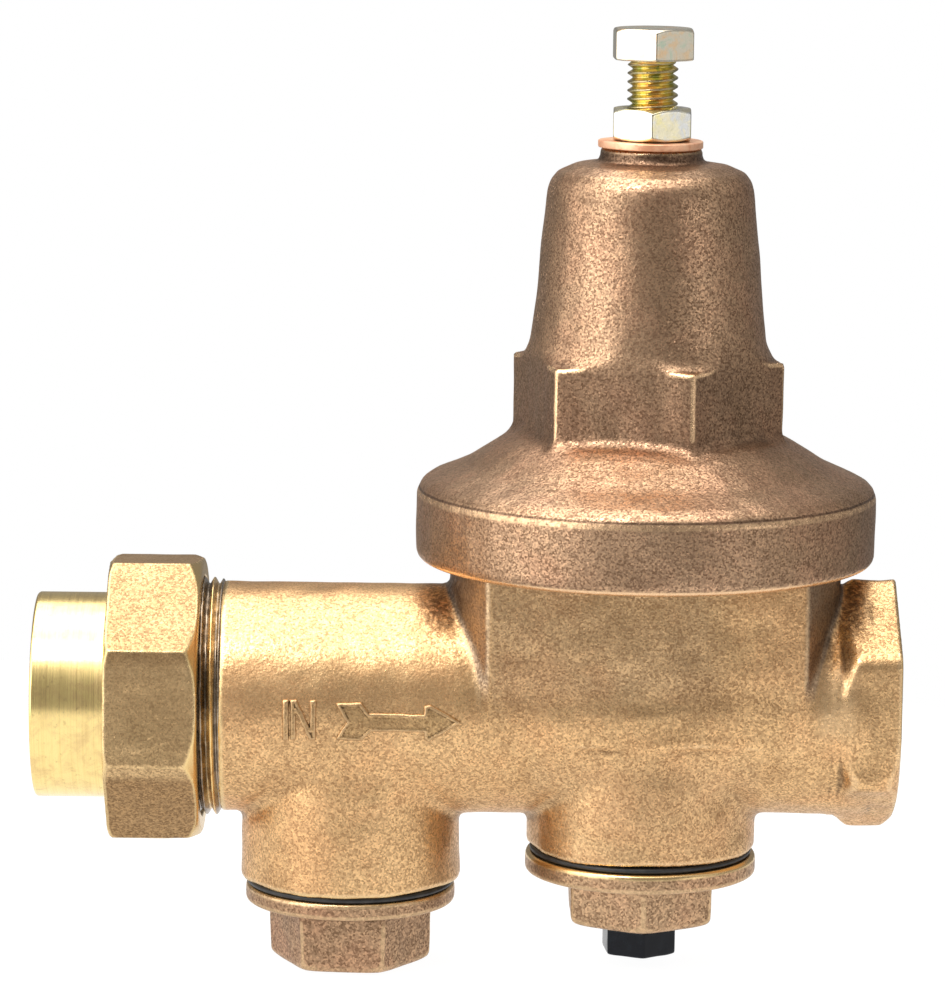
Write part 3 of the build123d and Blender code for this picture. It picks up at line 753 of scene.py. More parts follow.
M_PLUG = cast_bronze("plug_bronze_left", (0.32, 0.20, 0.118), (0.395, 0.252, 0.149), (0.47, 0.31, 0.183), rough=0.42, speck=0.6, bump=0.8, grain=0.42,
                     edge=(0.85, 0.6, 0.34), edge_gain=0.4, hollow_dirt_and_shade=0.6, tint=(1.05, 0.88, 0.88), tint_amt=0.5, gold=plug_gold(-35.2))
# painted shading on the union nut: darker lower faces, and somewhat darker upper faces that tone down the top light
def nut_painted_shade(s):
    x, y, z = s.sep()
    return s.math("MAXIMUM", s.math("MULTIPLY", step(s, z, -9.5, -12.0), 1.0), s.math("MULTIPLY", step(s, z, 8.5, 12.0), 0.65))


# nut: the grey-brown given below is the colour of its painted shading
M_NUT = cast_bronze("nut_bronze", (0.46, 0.308, 0.152), (0.525, 0.357, 0.18), (0.59, 0.415, 0.218), rough=0.38, speck=0.5, bump=0.7, grain=0.38,
                    edge=(0.90, 0.66, 0.34), edge_gain=0.45, hollow_dirt_and_shade=0.5, mach_col=(0.92, 0.68, 0.32), tint=(1.0, 0.95, 0.93), tint_amt=0.3,
                    edge_at=(0.5, 0.9), painted_shade=nut_painted_shade, painted_shade_col=(0.64, 0.58, 0.54))
M_TAIL = turned_brass("tail_brass", (0.97, 0.745, 0.315), (0.64, 0.42, 0.20), "x", rough=0.09, mott=0.5)
def thread_brass():
    s = Mat("thread_brass")
    x, y, z = s.sep()
    tarn = s.noise(2.6, 4, 0.65, 0.4)
    gold = s.mix(s.ramp(tarn, [(0.40, 0.0), (0.68, 1.0)], True), (0.88, 0.62, 0.27), (0.55, 0.36, 0.16))
    grey = s.mix(s.ramp(tarn, [(0.38, 0.0), (0.62, 1.0)], True), (0.40, 0.32, 0.24), (0.20, 0.16, 0.12))
    base = s.mix(s.math("MULTIPLY", step(s, x, -127.9, -127.5), step(s, x, -126.3, -126.7)), grey, gold)
    g = s.noise(0.5, 3, 0.6)
    return s.set(Base_Color=base, Metallic=1.0, Roughness=s.math("ADD", s.math("MULTIPLY", g, 0.2), 0.18), Normal=s.bump(g, 0.25, 0.05))


M_THREADB = thread_brass()
M_TURNX = turned_brass("turned_brass_x", (0.84, 0.63, 0.29), (0.55, 0.38, 0.17), "x", rough=0.2)
M_TURNZ = turned_brass("turned_brass_z", (0.84, 0.63, 0.29), (0.55, 0.38, 0.17), "z", rough=0.2)
M_HEAD = zinc("zinc_head", (0.80, 0.74, 0.60), (0.92, 0.66, 0.40), (0.60, 0.72, 0.56), tint=0.85)
M_NUTZ = zinc("zinc_lock_nut", (0.88, 0.82, 0.60), (0.93, 0.84, 0.40), (0.74, 0.76, 0.78), tint=0.85)
M_SHANK = zinc("zinc_thread", (0.76, 0.61, 0.22), (0.80, 0.50, 0.20), (0.44, 0.46, 0.15), rough=0.14, tint=0.85)
M_RUBBER = rubber("seal_rubber")
M_DIAPH = rubber("diaphragm_rubber", (0.03, 0.03, 0.032))
M_SPRING = plain_metal("spring_steel", (0.20, 0.20, 0.21), (0.10, 0.09, 0.08), 0.3)
M_PLATED = plain_metal("plated_steel", (0.62, 0.61, 0.56), (0.45, 0.42, 0.36), 0.28)
M_STAIN = plain_metal("stainless", (0.66, 0.65, 0.63), (0.5, 0.49, 0.47), 0.25)


def copper():
    s = Mat("copper")
    t = s.noise(2.6, 4, 0.6, 0.4)
    base = s.ramp(t, [(0.35, (0.86, 0.42, 0.24)), (0.52, (0.98, 0.565, 0.35)), (0.68, (0.98, 0.68, 0.46))], True)
    return s.set(Base_Color=base, Metallic=0.5, Roughness=s.math("ADD", s.math("MULTIPLY", t, 0.2), 0.27), Normal=s.bump(s.noise(1.2, 4, 0.6), 0.2, 0.12))


def black_plastic():
    s = Mat("black_plastic")
    g = s.noise(0.8, 3, 0.6)
    base = s.mix(s.ramp(s.noise(2.2, 3, 0.6), [(0.5, 0.0), (0.8, 1.0)]), (0.002, 0.003, 0.006), (0.007, 0.010, 0.015))
    s.p.inputs["Specular IOR Level"].default_value = 0.22
    return s.set(Base_Color=base, Roughness=s.math("ADD", s.math("MULTIPLY", g, 0.14), 0.12), Normal=s.bump(g, 0.15, 0.1))


M_COPPER = copper()
M_BLACK = black_plastic()


def paint(o, *mats):
    o.data.materials.clear()
    for m in mats:
        o.data.materials.append(m)
    return o


def place(o, mat, body, replaces=None):
    paint(o, mat)
    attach(o, body)
    if replaces:
        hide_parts(*replaces)
    return o


# ------------------------------------------------------------------ valve body
def cylx(P, r, x0, x1, k=0.0, y=0.0, z=0.0):
    return cap(np.hypot(P[:, 1] - y, P[:, 2] - z) - r, P[:, 0], x0, x1, k)


def cylz(P, x, r, z0, z1, k=0.0):
    return cap(np.hypot(P[:, 0] - x, P[:, 1]) - r, P[:, 2], z0, z1, k)


def f_body(P):
    X, Y, Z = P[:, 0], P[:, 1], P[:, 2]
    bump = 0.15 * lumps(P, 9, 3) + 0.07 * lumps(P, 3.2, 4)
    ryz = np.hypot(Y, Z)
    t = np.clip((X + 64.0) / 30.0, 0, 1)
    tube = 21.45 - 0.6 * t * t * (3 - 2 * t)
    barrel = cap(ryz - tube, X, -125.6, -6.0, 0.6)
    lboss = cylz(P, FX, 20.45 - 0.004 * (Z + 34), -34.0, 1.0, 0.9)
    rboss = cylz(P, SX, 21.45 - 0.003 * (Z + 27.5), -27.5, 1.0, 0.9)
    rs = np.hypot(X - SX, Y)
    low = np.clip((10.0 - Z) / 14.0, 0, 1)
    low = low * low * (3 - 2 * low)
    side = np.clip((np.abs(X - SX) - 10.0) / 16.0, 0, 1)
    hub = smax(rs - 36.4 + 2.5 * low, np.abs(Y) - 21.6 + (0.15 + 1.9 * side) * low, 0.6)
    hub = cap(hub, Z, -4.5, 27.5, 0.8)
    hexe = ngon(Y, Z, 6, 20.78, 0.0, 3.4)
    cone = ryz - (20.6 + np.clip(X + 11.2, 0, 3.4) * 1.15)
    worn = ryz - (21.0 - X * 1.3 + np.clip(Z + 4.0, 0, 6) * 1.2)
    hexe = smax(hexe, worn * 0.6, 0.5)
    hexe = smax(smax(hexe, cone, 1.2), np.abs(X + 6.0) - 5.95, 0.5)
    d = smin(barrel, lboss, 2.0)
    d = smin(d, rboss, 2.0)
    d = smin(d, hexe, 1.3)
    d = smin(d, hub, 1.9)
    neck = cylz(P, SX, 38.95, 27.5, 37.95, 0.4)
    d = d + bump * np.clip((-0.6 - X) / 2.0, 0, 1)
    d = smin(d, neck, 0.8)
    core = cylx(P, 20.9, -138.0, -124.0, 0.4)
    d = smin(d, core, 0.3)
    # machined recesses
    cut = cylx(P, 12.7, -140.0, -120.0)
    cut = np.minimum(cut, cylz(P, FX, 14.0, 3.0, 12.0))
    cut = np.minimum(cut, cap(box2(Y, Z - 7.0, 9.0, 4.0, 2.0), X, -121.0, FX))
    cut = np.minimum(cut, cylz(P, FX, 11.0, -2.0, 4.0))
    cut = np.minimum(cut, cylz(P, FX, 16.0, -36.0, -1.0))
    cut = np.minimum(cut, cylz(P, FX, 17.05, -36.0, -26.8))
    cut = np.minimum(cut, cap(box2(Y, Z + 9.0, 11.0, 7.5, 6.0), X, FX, SX))
    cut = np.minimum(cut, cylz(P, SX, 15.5, -30.0, 0.0))
    cut = np.minimum(cut, cylz(P, SX, 17.55, -30.0, -18.9))
    cut = np.minimum(cut, cylz(P, SX, 12.05, -1.0, 6.0))
    cut = np.minimum(cut, cylz(P, SX, 16.0, 5.0, 31.0))
    cut = np.minimum(cut, cylz(P, SX, 33.0, 30.0, 40.0))
    cut = np.minimum(cut, cap(box2(Y, Z - 9.5, 10.0, 4.5, 3.0), X, SX + 8, SX + 22))
    cut = np.minimum(cut, cylx(P, 12.7, -29.0, 2.0))
    cut = np.minimum(cut, cylx(P, 16.6, -17.0, 2.0))
    return smax(d, -cut, 0.35)


def mach_body(V):
    X, Y, Z = V[:, 0], V[:, 1], V[:, 2]
    m = np.clip((X + 0.35) / 0.2, 0, 1)
    m = np.maximum(m, (X < -124.9).astype(float))
    m = np.maximum(m, ((Z < -33.5) | ((Z < -27.1) & (np.hypot(X - SX, Y) < 21.2))).astype(float) * (np.hypot(X - FX, Y) < 60))
    m = np.maximum(m, (Z > 27.2).astype(float))
    return m


body = field_mesh("valve_body_casting", f_body, (-138, -39, -34), (0, 39, 38), 0.75, {"mach": mach_body})
place(body, M_BODY, "root", ["valve_body"])

# union thread on the body, and the pipe thread in the outlet
place(threaded("body_union_thread", "x", (0, 0, 0), 22.25, 1.15, 1.814, -137.9, -125.3, 20.6, seg=180, steps=16, fade0=0.9, fade1=0.35),
      M_THREADB, "root")
place(threaded("outlet_pipe_thread", "x", (0, 0, 0), 15.15, 1.25, 2.209, -16.9, -0.7, 16.9, seg=128, steps=12, taper=0.031, inside=True, fade0=0.2, fade1=0.8),
      M_TURNX, "root")

# raised flow arrow with IN beside it, cast on the front of the barrel
ARROW = [(-103.84, 3.01), (-99.34, 3.14), (-97.92, 1.18), (-87.63, 1.04), (-87.63, 2.62), (-86.61, 2.88), (-81.07, -0.19),
         (-86.86, -3.86), (-87.63, -3.54), (-87.63, -2.02), (-97.41, -2.02), (-99.34, -3.80), (-103.84, -3.59), (-101.91, -0.34)]
LETTER_I = [(-113.61, 3.53), (-112.71, 3.53), (-112.71, -3.80), (-113.61, -3.80)]
LETTER_N = [(-112.20, 3.53), (-111.20, 3.53), (-108.60, -1.9), (-108.60, 3.53), (-107.69, 3.53), (-107.69, -3.80), (-108.70, -3.80),
            (-111.30, 1.6), (-111.30, -3.80), (-112.20, -3.80)]


def f_relief(P, lift):
    X, Y, Z = P[:, 0], P[:, 1], P[:, 2]
    d2 = np.minimum(poly2(X, Z, ARROW), np.minimum(poly2(X, Z, LETTER_I), poly2(X, Z, LETTER_N)))
    f = f_body(P)
    sunk = 0.17 * (1.0 - np.clip((d2 + 0.55) / 0.22, 0, 1))
    return smax(smax(f - lift + sunk, -f - 0.8, 0.2), smax(d2 - 0.12 + 0.06 * lumps(P, 1.2, 9), Y + 5.0, 0.1), 0.5)


relief = field_mesh("flow_arrow", lambda P: f_relief(P, 0.52), (-114.6, -22.8, -4.8), (-80.2, -19.8, 4.4), 0.26, curve_step=0.4)
place(relief, M_RELIEF, "root")

# ------------------------------------------------------------------ bell housing
OUT = [(0, 27.05), (41.2, 27.05), (41.9, 27.3), (42.4, 27.8), (42.65, 28.6), (42.72, 39.2), (42.55, 40.1), (42.35, 40.35), (42.3, 40.7), (41.6, 41.5), (40.2, 42.35),
       (35.0, 44.6), (33.5, 45.4), (30.5, 47.3), (27.5, 49.2), (25.5, 50.3), (22.0, 51.4), (18.0, 52.2), (0, 52.5)]
CONE = [(0, 44.0), (26.5, 44.0), (26.5, 64.7), (24.3, 64.8), (23.6, 65.0), (23.1, 65.4), (22.7, 66.0), (22.3, 66.8), (22.0, 67.6), (21.8, 68.4),
        (21.3, 72.6), (21.0, 75.5), (20.25, 84.5), (19.45, 91.9), (19.2, 94.8), (19.0, 96.3), (18.5, 97.8), (17.3, 99.3), (14.2, 100.7), (11.0, 101.1), (0, 101.1)]
BOSS = [(0, 99.0), (9.6, 99.0), (9.45, 101.0), (9.4, 102.0), (9.4, 103.5), (9.25, 103.7), (0, 103.7)]
INS = [(0, 20.0), (39.05, 20.0), (39.05, 41.2), (34.0, 41.2), (33.0, 43.0), (24.0, 48.0), (18.6, 52.5), (18.4, 64.0), (15.8, 92.0), (14.8, 96.0), (4.9, 96.5), (4.9, 108), (0, 108)]
p_out = Profile(OUT, rnd=0.15)
p_cone = Profile(CONE, rnd=0.45)
p_boss = Profile(BOSS, rnd=0.3)
p_ins = Profile(INS)
HEX_TURN = -13.2


def f_bell(P):
    x, Y, Z = P[:, 0] - SX, P[:, 1], P[:, 2]
    r = np.hypot(x, Y)
    hexe = ngon(x, Y, 6, 22.2, HEX_TURN + 30, 0.6)
    d = smax(p_cone(r, Z), hexe, 0.55)
    d = smin(d, p_out(r, Z), 2.2)
    d = smin(d, p_boss(r, Z), 1.6)
    d = d + (0.09 * lumps(P, 8, 21) + 0.05 * lumps(P, 3, 22)) * np.clip((Z - 27.5) / 2, 0, 1) * np.clip((103.2 - Z) / 1.0, 0, 1)
    return smax(d, -p_ins(r, Z), 0.3)


def mach_bell(V):
    Z = V[:, 2]
    r = np.hypot(V[:, 0] - SX, V[:, 1])
    m = np.clip((27.2 - Z) / 0.5, 0, 1) * np.clip((r - 38.0) / 1.0, 0, 1)
    return np.maximum(m, np.clip((Z - 103.55) / 0.1, 0, 1))


bell = field_mesh("bell_housing_casting", f_bell, (SX - 43, -43, 25.5), (SX + 43, 43, 104), 0.62, {"mach": mach_bell})
place(bell, M_BELL, "root", ["bell_housing"])

# ------------------------------------------------------------------ union nut
P_NUT = Profile([(0, -146.5), (26.6, -146.5), (28.0, -145.6), (28.7, -140.0), (28.7, -132.4), (25.9, -129.6), (25.2, -129.3), (0, -129.3)])


def f_unut(P):
    X, Y, Z = P[:, 0], P[:, 1], P[:, 2]
    r = np.hypot(Y, Z)
    hexe = ngon(Y, Z, 8, 25.66, 180 - 5.25, 0.3) + 0.05 * lumps(P, 6, 31) + 0.03 * lumps(P, 2.5, 32)
    d = smax(hexe, P_NUT(r, X), 0.3)
    hole = np.where(X < -142.5, r - 19.4, r - 22.4)
    return smax(d, -hole, 0.25)


def mach_nut(V):
    r = np.hypot(V[:, 1], V[:, 2])
    X = V[:, 0]
    m = np.clip((P_NUT(r, X) + 0.12) / 0.1, 0, 1)
    return np.maximum(m, (r < 22.6).astype(float))


unut = field_mesh("union_nut_casting", f_unut, (-146.5, -29, -29), (-129, 29, 29), 0.42, {"mach": mach_nut})
place(unut, M_NUT, "union_nut", ["union_nut"])
place(threaded("union_nut_thread", "x", (0, 0, 0), 21.35, 1.1, 1.814, -142.0, -129.6, 22.9, seg=128, steps=12, inside=True, fade0=0.3, fade1=0.8),
      M_TURNX, "union_nut")

# ------------------------------------------------------------------ tailpiece and its inlet thread
tail = lathe("union_tailpiece", "x", (0, 0, 0), [
    (16.9, -160.5), (18.9, -160.5), (19.2, -160.1), (19.2, -142.5), (22.0, -142.5), (22.0, -139.0), (12.7, -139.0),
    (12.7, -144.5), (15.5, -144.9), (16.9, -146.0)], seg=224, bevel=0.25)
place(tail, M_TAIL, "tailpiece", ["tailpiece"])
place(threaded("inlet_pipe_thread", "x", (0, 0, 0), 15.65, 1.2, 2.209, -159.8, -145.2, 17.2, seg=128, steps=12, taper=-0.031, inside=True, fade0=0.8, fade1=0.3),
      M_TURNX, "tailpiece")

# ------------------------------------------------------------------ adjusting screw, lock nut, washer
PITCH = 1.5875


def f_screw(P):
    x, Y, Z = P[:, 0] - SX, P[:, 1], P[:, 2]
    r = np.hypot(x, Y)
    head = ngon(x, Y, 6, 7.14, 32.5 + 30, 0.22)
    dome = r + (Z - 125.85) / 0.52 - 7.05
    head = smax(smax(head, np.abs(Z - 122.9) - 2.93, 0.3), dome * 0.46, 0.25)
    head = smax(head, (r - (Z - 119.9) * 2.2 - 7.7) * 0.41, 0.3)
    ph = Z / PITCH - np.arctan2(Y, x) / (2 * math.pi)
    depth = 0.93 * thread_shape(ph, 0.16, 0.1)
    run = np.clip((119.9 - Z) / 0.9, 0, 1)
    sh = (r - (3.74 + depth * run + 0.4 * (1 - run))) * 0.72
    tip = (r - 4.76 + (89.0 - Z)) * 0.7
    sh = np.maximum(np.maximum(sh, tip), np.maximum(88.2 - Z, Z - 120.6))
    return smin(head, sh, 0.35)


scr = field_mesh("adjusting_screw_zinc", f_screw, (SX - 8.3, -8.3, 88.1), (SX + 8.3, 8.3, 125.9), 0.165, curve_step=0.25)
place(scr, M_HEAD, "adjusting_screw", ["adjusting_screw"])
scr.data.materials.append(M_SHANK)
_co = np.empty(len(scr.data.vertices) * 3)
scr.data.vertices.foreach_get("co", _co)
_co = _co.reshape(-1, 3) / MM
_lv = np.empty(len(scr.data.loops), np.int32)
scr.data.loops.foreach_get("vertex_index", _lv)
_c = _co[_lv].reshape(-1, 4, 3).mean(1)
_low = (_c[:, 2] < 119.75) & (np.hypot(_c[:, 0] - SX, _c[:, 1]) < 5.2)
scr.data.polygons.foreach_set("material_index", _low.astype(np.int32))

NZ0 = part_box("lock_nut")[0].z / MM
NZ1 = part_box("lock_nut")[1].z / MM + 0.4


def f_lnut(P):
    x, Y, Z = P[:, 0] - SX, P[:, 1], P[:, 2]
    r = np.hypot(x, Y)
    d = ngon(x, Y, 6, 7.14, 28.4 + 30, 0.25)
    d = smax(d, np.abs(Z - (NZ0 + NZ1) / 2) - (NZ1 - NZ0) / 2 + 0.02, 0.25)
    top = (r - 6.9 - (NZ1 - Z) * 1.75) * 0.5
    bot = (r - 6.9 - (Z - NZ0) * 1.75) * 0.5
    d = smax(smax(d, top, 0.2), bot, 0.2)
    bore = r - 4.85 - 0.75 * np.clip((Z - NZ1 + 0.8) / 0.8, 0, 1) - 0.75 * np.clip((NZ0 + 0.8 - Z) / 0.8, 0, 1)
    return smax(d, -bore * 0.75, 0.15)


lnut = field_mesh("lock_nut_zinc", f_lnut, (SX - 8.3, -8.3, NZ0), (SX + 8.3, 8.3, NZ1), 0.2, curve_step=0.25)
place(lnut, M_NUTZ, "lock_nut", ["lock_nut"])

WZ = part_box("sealing_washer")[0].z / MM


def washer_wave(r, th):
    k = np.clip((r - 6.5) / 3.0, 0, 1)
    return k * (0.06 * np.cos(th - 2.9) + 0.05 * np.sin(2 * th + 0.6))


wsh = lathe("sealing_washer_copper", "z", (SX - 0.2, 0, WZ), [(5.0, 0.1), (9.55, 0.08), (9.7, 0.25), (9.7, 1.3), (9.55, 1.42), (5.0, 1.4)],
            seg=128, bevel=0.12, wobble=washer_wave)
place(wsh, M_COPPER, "sealing_washer", ["sealing_washer"])


# ------------------------------------------------------------------ plugs under the body
def plug_field(x0, af, turn, flange_r, top, flange_z, hex_z, spigot_r, spigot_top, seed, hollow, gauge):
    def fn(P):
        x, Y, Z = P[:, 0] - x0, P[:, 1], P[:, 2]
        r = np.hypot(x, Y)
        lum = 0.06 * lumps(P, 5, seed) + 0.04 * lumps(P, 2.2, seed + 1)
        taper = 0.035 * np.clip(flange_z - Z, 0, 20)
        hexe = ngon(x, Y, 6, af / 2 - 0.02, turn + 30, 1.0) + taper + lum
        low = r - (af / 2 + 2.55) + 1.2 * np.clip((hex_z + 2.4 - Z) / 2.4, 0, 1) ** 2 * 1.6
        hexe = smax(smax(hexe, low, 1.0), np.abs(Z - (flange_z + hex_z) / 2 - 1.0) - (flange_z - hex_z) / 2 - 1.0 + 0.03, 1.7)
        flange = cap(r - flange_r + 0.03 + 0.4 * lum, Z, flange_z, top, 0.9)
        d = smin(hexe, flange, 1.6)
        spig = cap(r - spigot_r + 0.5, Z, top - 1.0, spigot_top, 0.6)
        d = smin(d, spig, 0.2)
        return smax(d, -hollow(r, Z), 0.2)
    return fn


def plug_mach(top, flange_z, spread):
    def fn(V):
        return np.clip((V[:, 2] - (top - spread)) / 0.25, 0, 1)
    return fn


P_BP = Profile([(7.2, -15.0), (7.2, -29.6), (14.0, -29.6), (14.0, -15.0)], pad=20)


def bp_hollow(r, Z):
    g = cap(r - 4.05, Z, -31.4, -10.0)
    g = np.minimum(g, cap(r - 1.5, Z, -36.0, -30.0))
    g = np.minimum(g, cap(r - 5.05, Z, -45.0, -34.5))
    return np.minimum(g, P_BP(r, Z))


def sp_hollow(r, Z):
    return cap(r - 12.95, Z, -33.5, -10.0)


bp = field_mesh("bottom_plug_casting", plug_field(SX, 26.7, 30.9, 21.7, -28.7, -32.4, -41.9, 17.5, -20.0, 41, bp_hollow, True),
                (SX - 22, -22, -42), (SX + 22, 22, -20), 0.42, {"mach": plug_mach(-28.7, -32.4, 0.95)})
place(bp, M_PLUGR, "bottom_plug", ["bottom_plug"])
place(threaded("bottom_plug_thread", "z", (SX, 0, 0), 17.45, 0.95, PITCH, -28.2, -20.3, 16.6, seg=128, steps=12), M_TURNZ, "bottom_plug")
sp = field_mesh("strainer_plug_casting", plug_field(FX, 27.0, -4.8, 19.7, -35.2, -38.5, -50.2, 17.0, -27.5, 51, sp_hollow, False),
                (FX - 20, -20, -50.4), (FX + 20, 20, -27.5), 0.42, {"mach": plug_mach(-35.2, -38.5, 0.3)})
place(sp, M_PLUG, "strainer_plug", ["strainer_plug"])
place(threaded("strainer_plug_thread", "z", (FX, 0, 0), 16.95, 0.95, PITCH, -34.8, -27.8, 16.1, seg=128, steps=12), M_TURNZ, "strainer_plug")


def ring(name, x, z0, z1, r0, r1, body_name, node):
    z0, z1 = z0 + 0.02, z1 - 0.02
    m = (z0 + z1) / 2
    pts = [(r0, m), (r0 + 0.3, z0 + 0.1), (r0 + 0.8, z0), (r1 - 0.6, z0), (r1 - 0.15, z0 + 0.2), (r1, m), (r1 - 0.15, z1 - 0.2), (r1 - 0.6, z1), (r0 + 0.8, z1), (r0 + 0.3, z1 - 0.1)]
    o = lathe(name, "z", (x, 0, 0), pts, seg=160, bevel=0.2, sharp=80)
    return place(o, M_RUBBER, body_name, [node])


ring("bottom_plug_seal", SX, -28.7, -27.5, 17.9, 20.9, "bottom_plug_oring", "bottom_plug_oring")
ring("strainer_plug_seal", FX, -35.2, -34.0, 17.4, 19.6, "strainer_screen", "strainer_plug_oring")
ring("gauge_plug_seal", SX, -43.0, -41.9, 5.3, 6.7, "gauge_plug_oring", "gauge_plug_oring")


def f_gauge(P):
    x, Y, Z = P[:, 0] - SX, P[:, 1], P[:, 2]
    r = np.hypot(x, Y)
    d = ngon(x, Y, 6, 6.43, 36 + 30, 0.35)
    d = smax(d, np.abs(Z + 45.6) - 2.58, 0.5)
    d = smax(d, (r - 7.1 - (Z + 48.2) * 1.6) * 0.55, 0.3)
    sh = cap(r - 4.95, Z, -44.0, -35.2, 0.3)
    cup = cap(ngon(x, Y, 6, 3.2, 66, 0.3), Z, -49.0, -45.6)
    return smax(smin(d, sh, 0.2) + 0.03 * lumps(P, 2.0, 61), -cup, 0.3)


gp = field_mesh("gauge_plug_moulding", f_gauge, (SX - 7.7, -7.7, -48.3), (SX + 7.7, 7.7, -35), 0.24, curve_step=0.35)
place(gp, M_BLACK, "gauge_plug", ["gauge_plug"])

# ------------------------------------------------------------------ inner pieces keep their CAD shape
INNER = {
    "spring_button": M_PLATED, "range_spring": M_SPRING, "friction_ring": M_TURNZ, "diaphragm": M_DIAPH, "diaphragm_plate": M_PLATED,
    "diaphragm_washer": M_TURNZ, "stem_nut": M_PLATED, "valve_stem": M_TURNZ, "seat_ring": M_STAIN, "seat_disc": M_RUBBER,
    "disc_retainer": M_STAIN, "disc_holder": M_TURNZ, "strainer_screen": M_STAIN, "union_gasket": M_RUBBER,
}
for node, mat in INNER.items():
    o = NODES[node]
    if not o.material_slots:
        o.data.materials.append(mat)
    for sl in o.material_slots:
        sl.material = mat

# ------------------------------------------------------------------ floor, light, camera
LOW = -50.6


def flat_floor():
    me = bpy.data.meshes.new("floor")
    pts = []
    for i in range(96):
        t = i * math.pi / 48
        c, sn = math.cos(t), math.sin(t)
        pts.append(((-0.13 + 0.30 * c) , -0.04 + 0.34 * sn, LOW * MM))
    me.from_pydata(pts, [], [tuple(range(96))])
    o = bpy.data.objects.new("floor", me)
    scene.collection.objects.link(o)
    m = bpy.data.materials.new("floor_white")
    m.use_nodes = True
    p = m.node_tree.nodes["Principled BSDF"]
    p.inputs["Base Color"].default_value = (0.10, 0.10, 0.10, 1)
    p.inputs["Roughness"].default_value = 0.9
    p.inputs["Specular IOR Level"].default_value = 0.0
    p.inputs["Emission Color"].default_value = (1, 1, 1, 1)
    p.inputs["Emission Strength"].default_value = 0.97
    me.materials.append(m)


flat_floor()


def area(name, loc, target, size, power, color=(1, 1, 1), size_y=None):
    ld = bpy.data.lights.new(name, "AREA")
    ld.energy = power
    ld.color = color
    ld.shape = "RECTANGLE"
    ld.size = size
    ld.size_y = size_y or size
    o = bpy.data.objects.new(name, ld)
    scene.collection.objects.link(o)
    o.location = Vector(loc)
    d = Vector(target) - Vector(loc)
    o.rotation_euler = d.to_track_quat("-Z", "Y").to_euler()
    return o


T = (-0.07, 0, 0.03)
area("key_box", (-0.42, -0.62, 1.05), T, 0.30, 3.0, size_y=0.30)
area("back_box", (-0.15, 0.75, 0.95), T, 0.5, 1.0, size_y=0.3)

world = bpy.data.worlds.new("studio")
scene.world = world
world.use_nodes = True
wt = world.node_tree
wt.nodes.clear()


def wn(kind, op=None, ins=()):
    nd = wt.nodes.new(kind)
    if op:
        nd.operation = op
    for i, v in enumerate(ins):
        if v is None:
            continue
        if isinstance(v, bpy.types.NodeSocket):
            wt.links.new(v, nd.inputs[i])
        else:
            nd.inputs[i].default_value = v
    return nd


def wstep(sock, lo, hi, out):
    """out where sock is above hi, 0 below lo, smooth between"""
    nd = wt.nodes.new("ShaderNodeMapRange")
    nd.interpolation_type = "SMOOTHSTEP"
    wt.links.new(sock, nd.inputs[0])
    for i, v in enumerate((lo, hi, 0.0, out)):
        nd.inputs[i + 1].default_value = v
    return nd.outputs[0]


def wlobe(direction, lo, hi, out):
    d = Vector(direction).normalized()
    dot = wn("ShaderNodeVectorMath", "DOT_PRODUCT", (tcw.outputs["Generated"], tuple(d)))
    return wstep(dot.outputs["Value"], lo, hi, out)


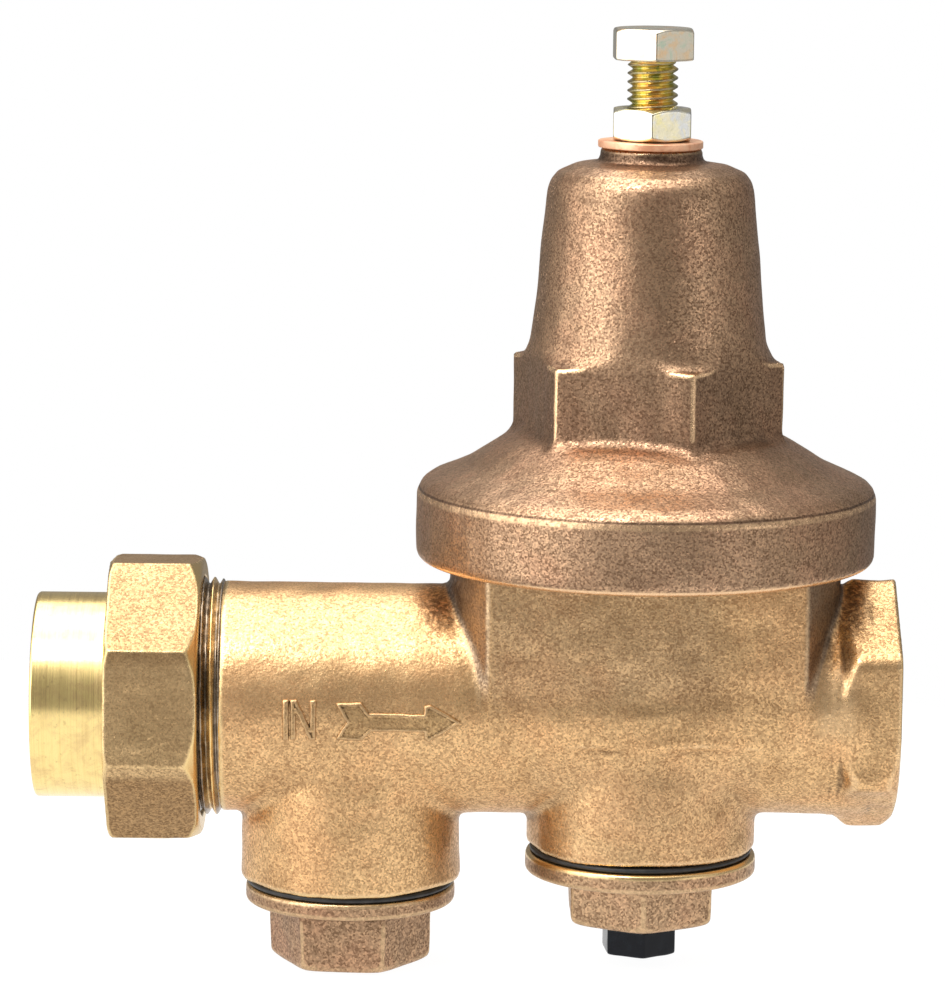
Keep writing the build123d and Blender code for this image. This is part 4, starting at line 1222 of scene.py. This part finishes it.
tcw = wt.nodes.new("ShaderNodeTexCoord")
LIGHT = [
    ((-0.13, -0.07, 0.95), 0.80, 0.86, 2.75),      # large box above
    ((-0.66, -0.42, 0.62), 0.85, 0.95, 1.6),      # its edge towards the left
    ((-0.10, 0.38, 0.92), 0.87, 0.93, 1.2),       # behind and above
    ((-0.90, -0.33, 0.28), 0.76, 0.87, 1.2),      # box at the left
    ((-0.78, -0.62, 0.0), 0.90, 0.96, 1.0),       # and at the left front
    ((-1.0, 0.0, 0.2), 0.70, 0.97, 0.2),          # spill on the left wall
    ((0.766, -0.643, 0.03), 0.970, 0.990, 1.1),   # reflector at the right front
    ((0.927, -0.375, 0.03), 0.968, 0.992, 0.3),   # and further right
    ((0.75, -0.10, 0.65), 0.85, 0.96, 0.4),       # soft light above the right side
    ((0.94, -0.03, -0.34), 0.95, 0.99, 0.3),      # bounce at the far right
    ((1.0, 0.1, 0.0), 0.60, 0.95, 0.06),          # spill on the right wall
]
total = None
for d, lo, hi, out in LIGHT:
    v = wlobe(d, lo, hi, out)
    total = v if total is None else wn("ShaderNodeMath", "ADD", (total, v)).outputs[0]
total = wn("ShaderNodeMath", "ADD", (total, 0.29)).outputs[0]
bg1 = wn("ShaderNodeBackground")
bg2 = wn("ShaderNodeBackground")
bg1.inputs[0].default_value = (1.0, 0.985, 0.965, 1)
wt.links.new(total, bg1.inputs[1])
bg2.inputs[0].default_value = (1, 1, 1, 1)
mx = wn("ShaderNodeMixShader")
lp = wn("ShaderNodeLightPath")
wo = wn("ShaderNodeOutputWorld")
wt.links.new(lp.outputs["Is Camera Ray"], mx.inputs[0])
wt.links.new(bg1.outputs[0], mx.inputs[1])
wt.links.new(bg2.outputs[0], mx.inputs[2])
wt.links.new(mx.outputs[0], wo.inputs[0])

scene.view_settings.view_transform = "Standard"
scene.view_settings.look = "None"

E = math.radians(9.0)
RHO = math.radians(0.62)
right = Vector((1, 0, 0))
upv = Vector((0, math.sin(E), math.cos(E)))
fwd = Vector((0, math.cos(E), -math.sin(E)))
cx = right * math.cos(RHO) + upv * math.sin(RHO)
cy = upv * math.cos(RHO) - right * math.sin(RHO)
cam_data = bpy.data.cameras.new("camera")
cam_data.lens = 169.2
cam_data.sensor_width = 36.0
cam_data.clip_start = 0.05
cam_data.clip_end = 50
cam = bpy.data.objects.new("camera", cam_data)
scene.collection.objects.link(cam)
loc = Vector(((SX - 32.32) * MM, -865.76 * MM, 174.79 * MM))
cam.matrix_world = Matrix(((cx.x, cy.x, -fwd.x, loc.x), (cx.y, cy.y, -fwd.y, loc.y), (cx.z, cy.z, -fwd.z, loc.z), (0, 0, 0, 1)))
scene.camera = cam

bpy.context.view_layer.update()
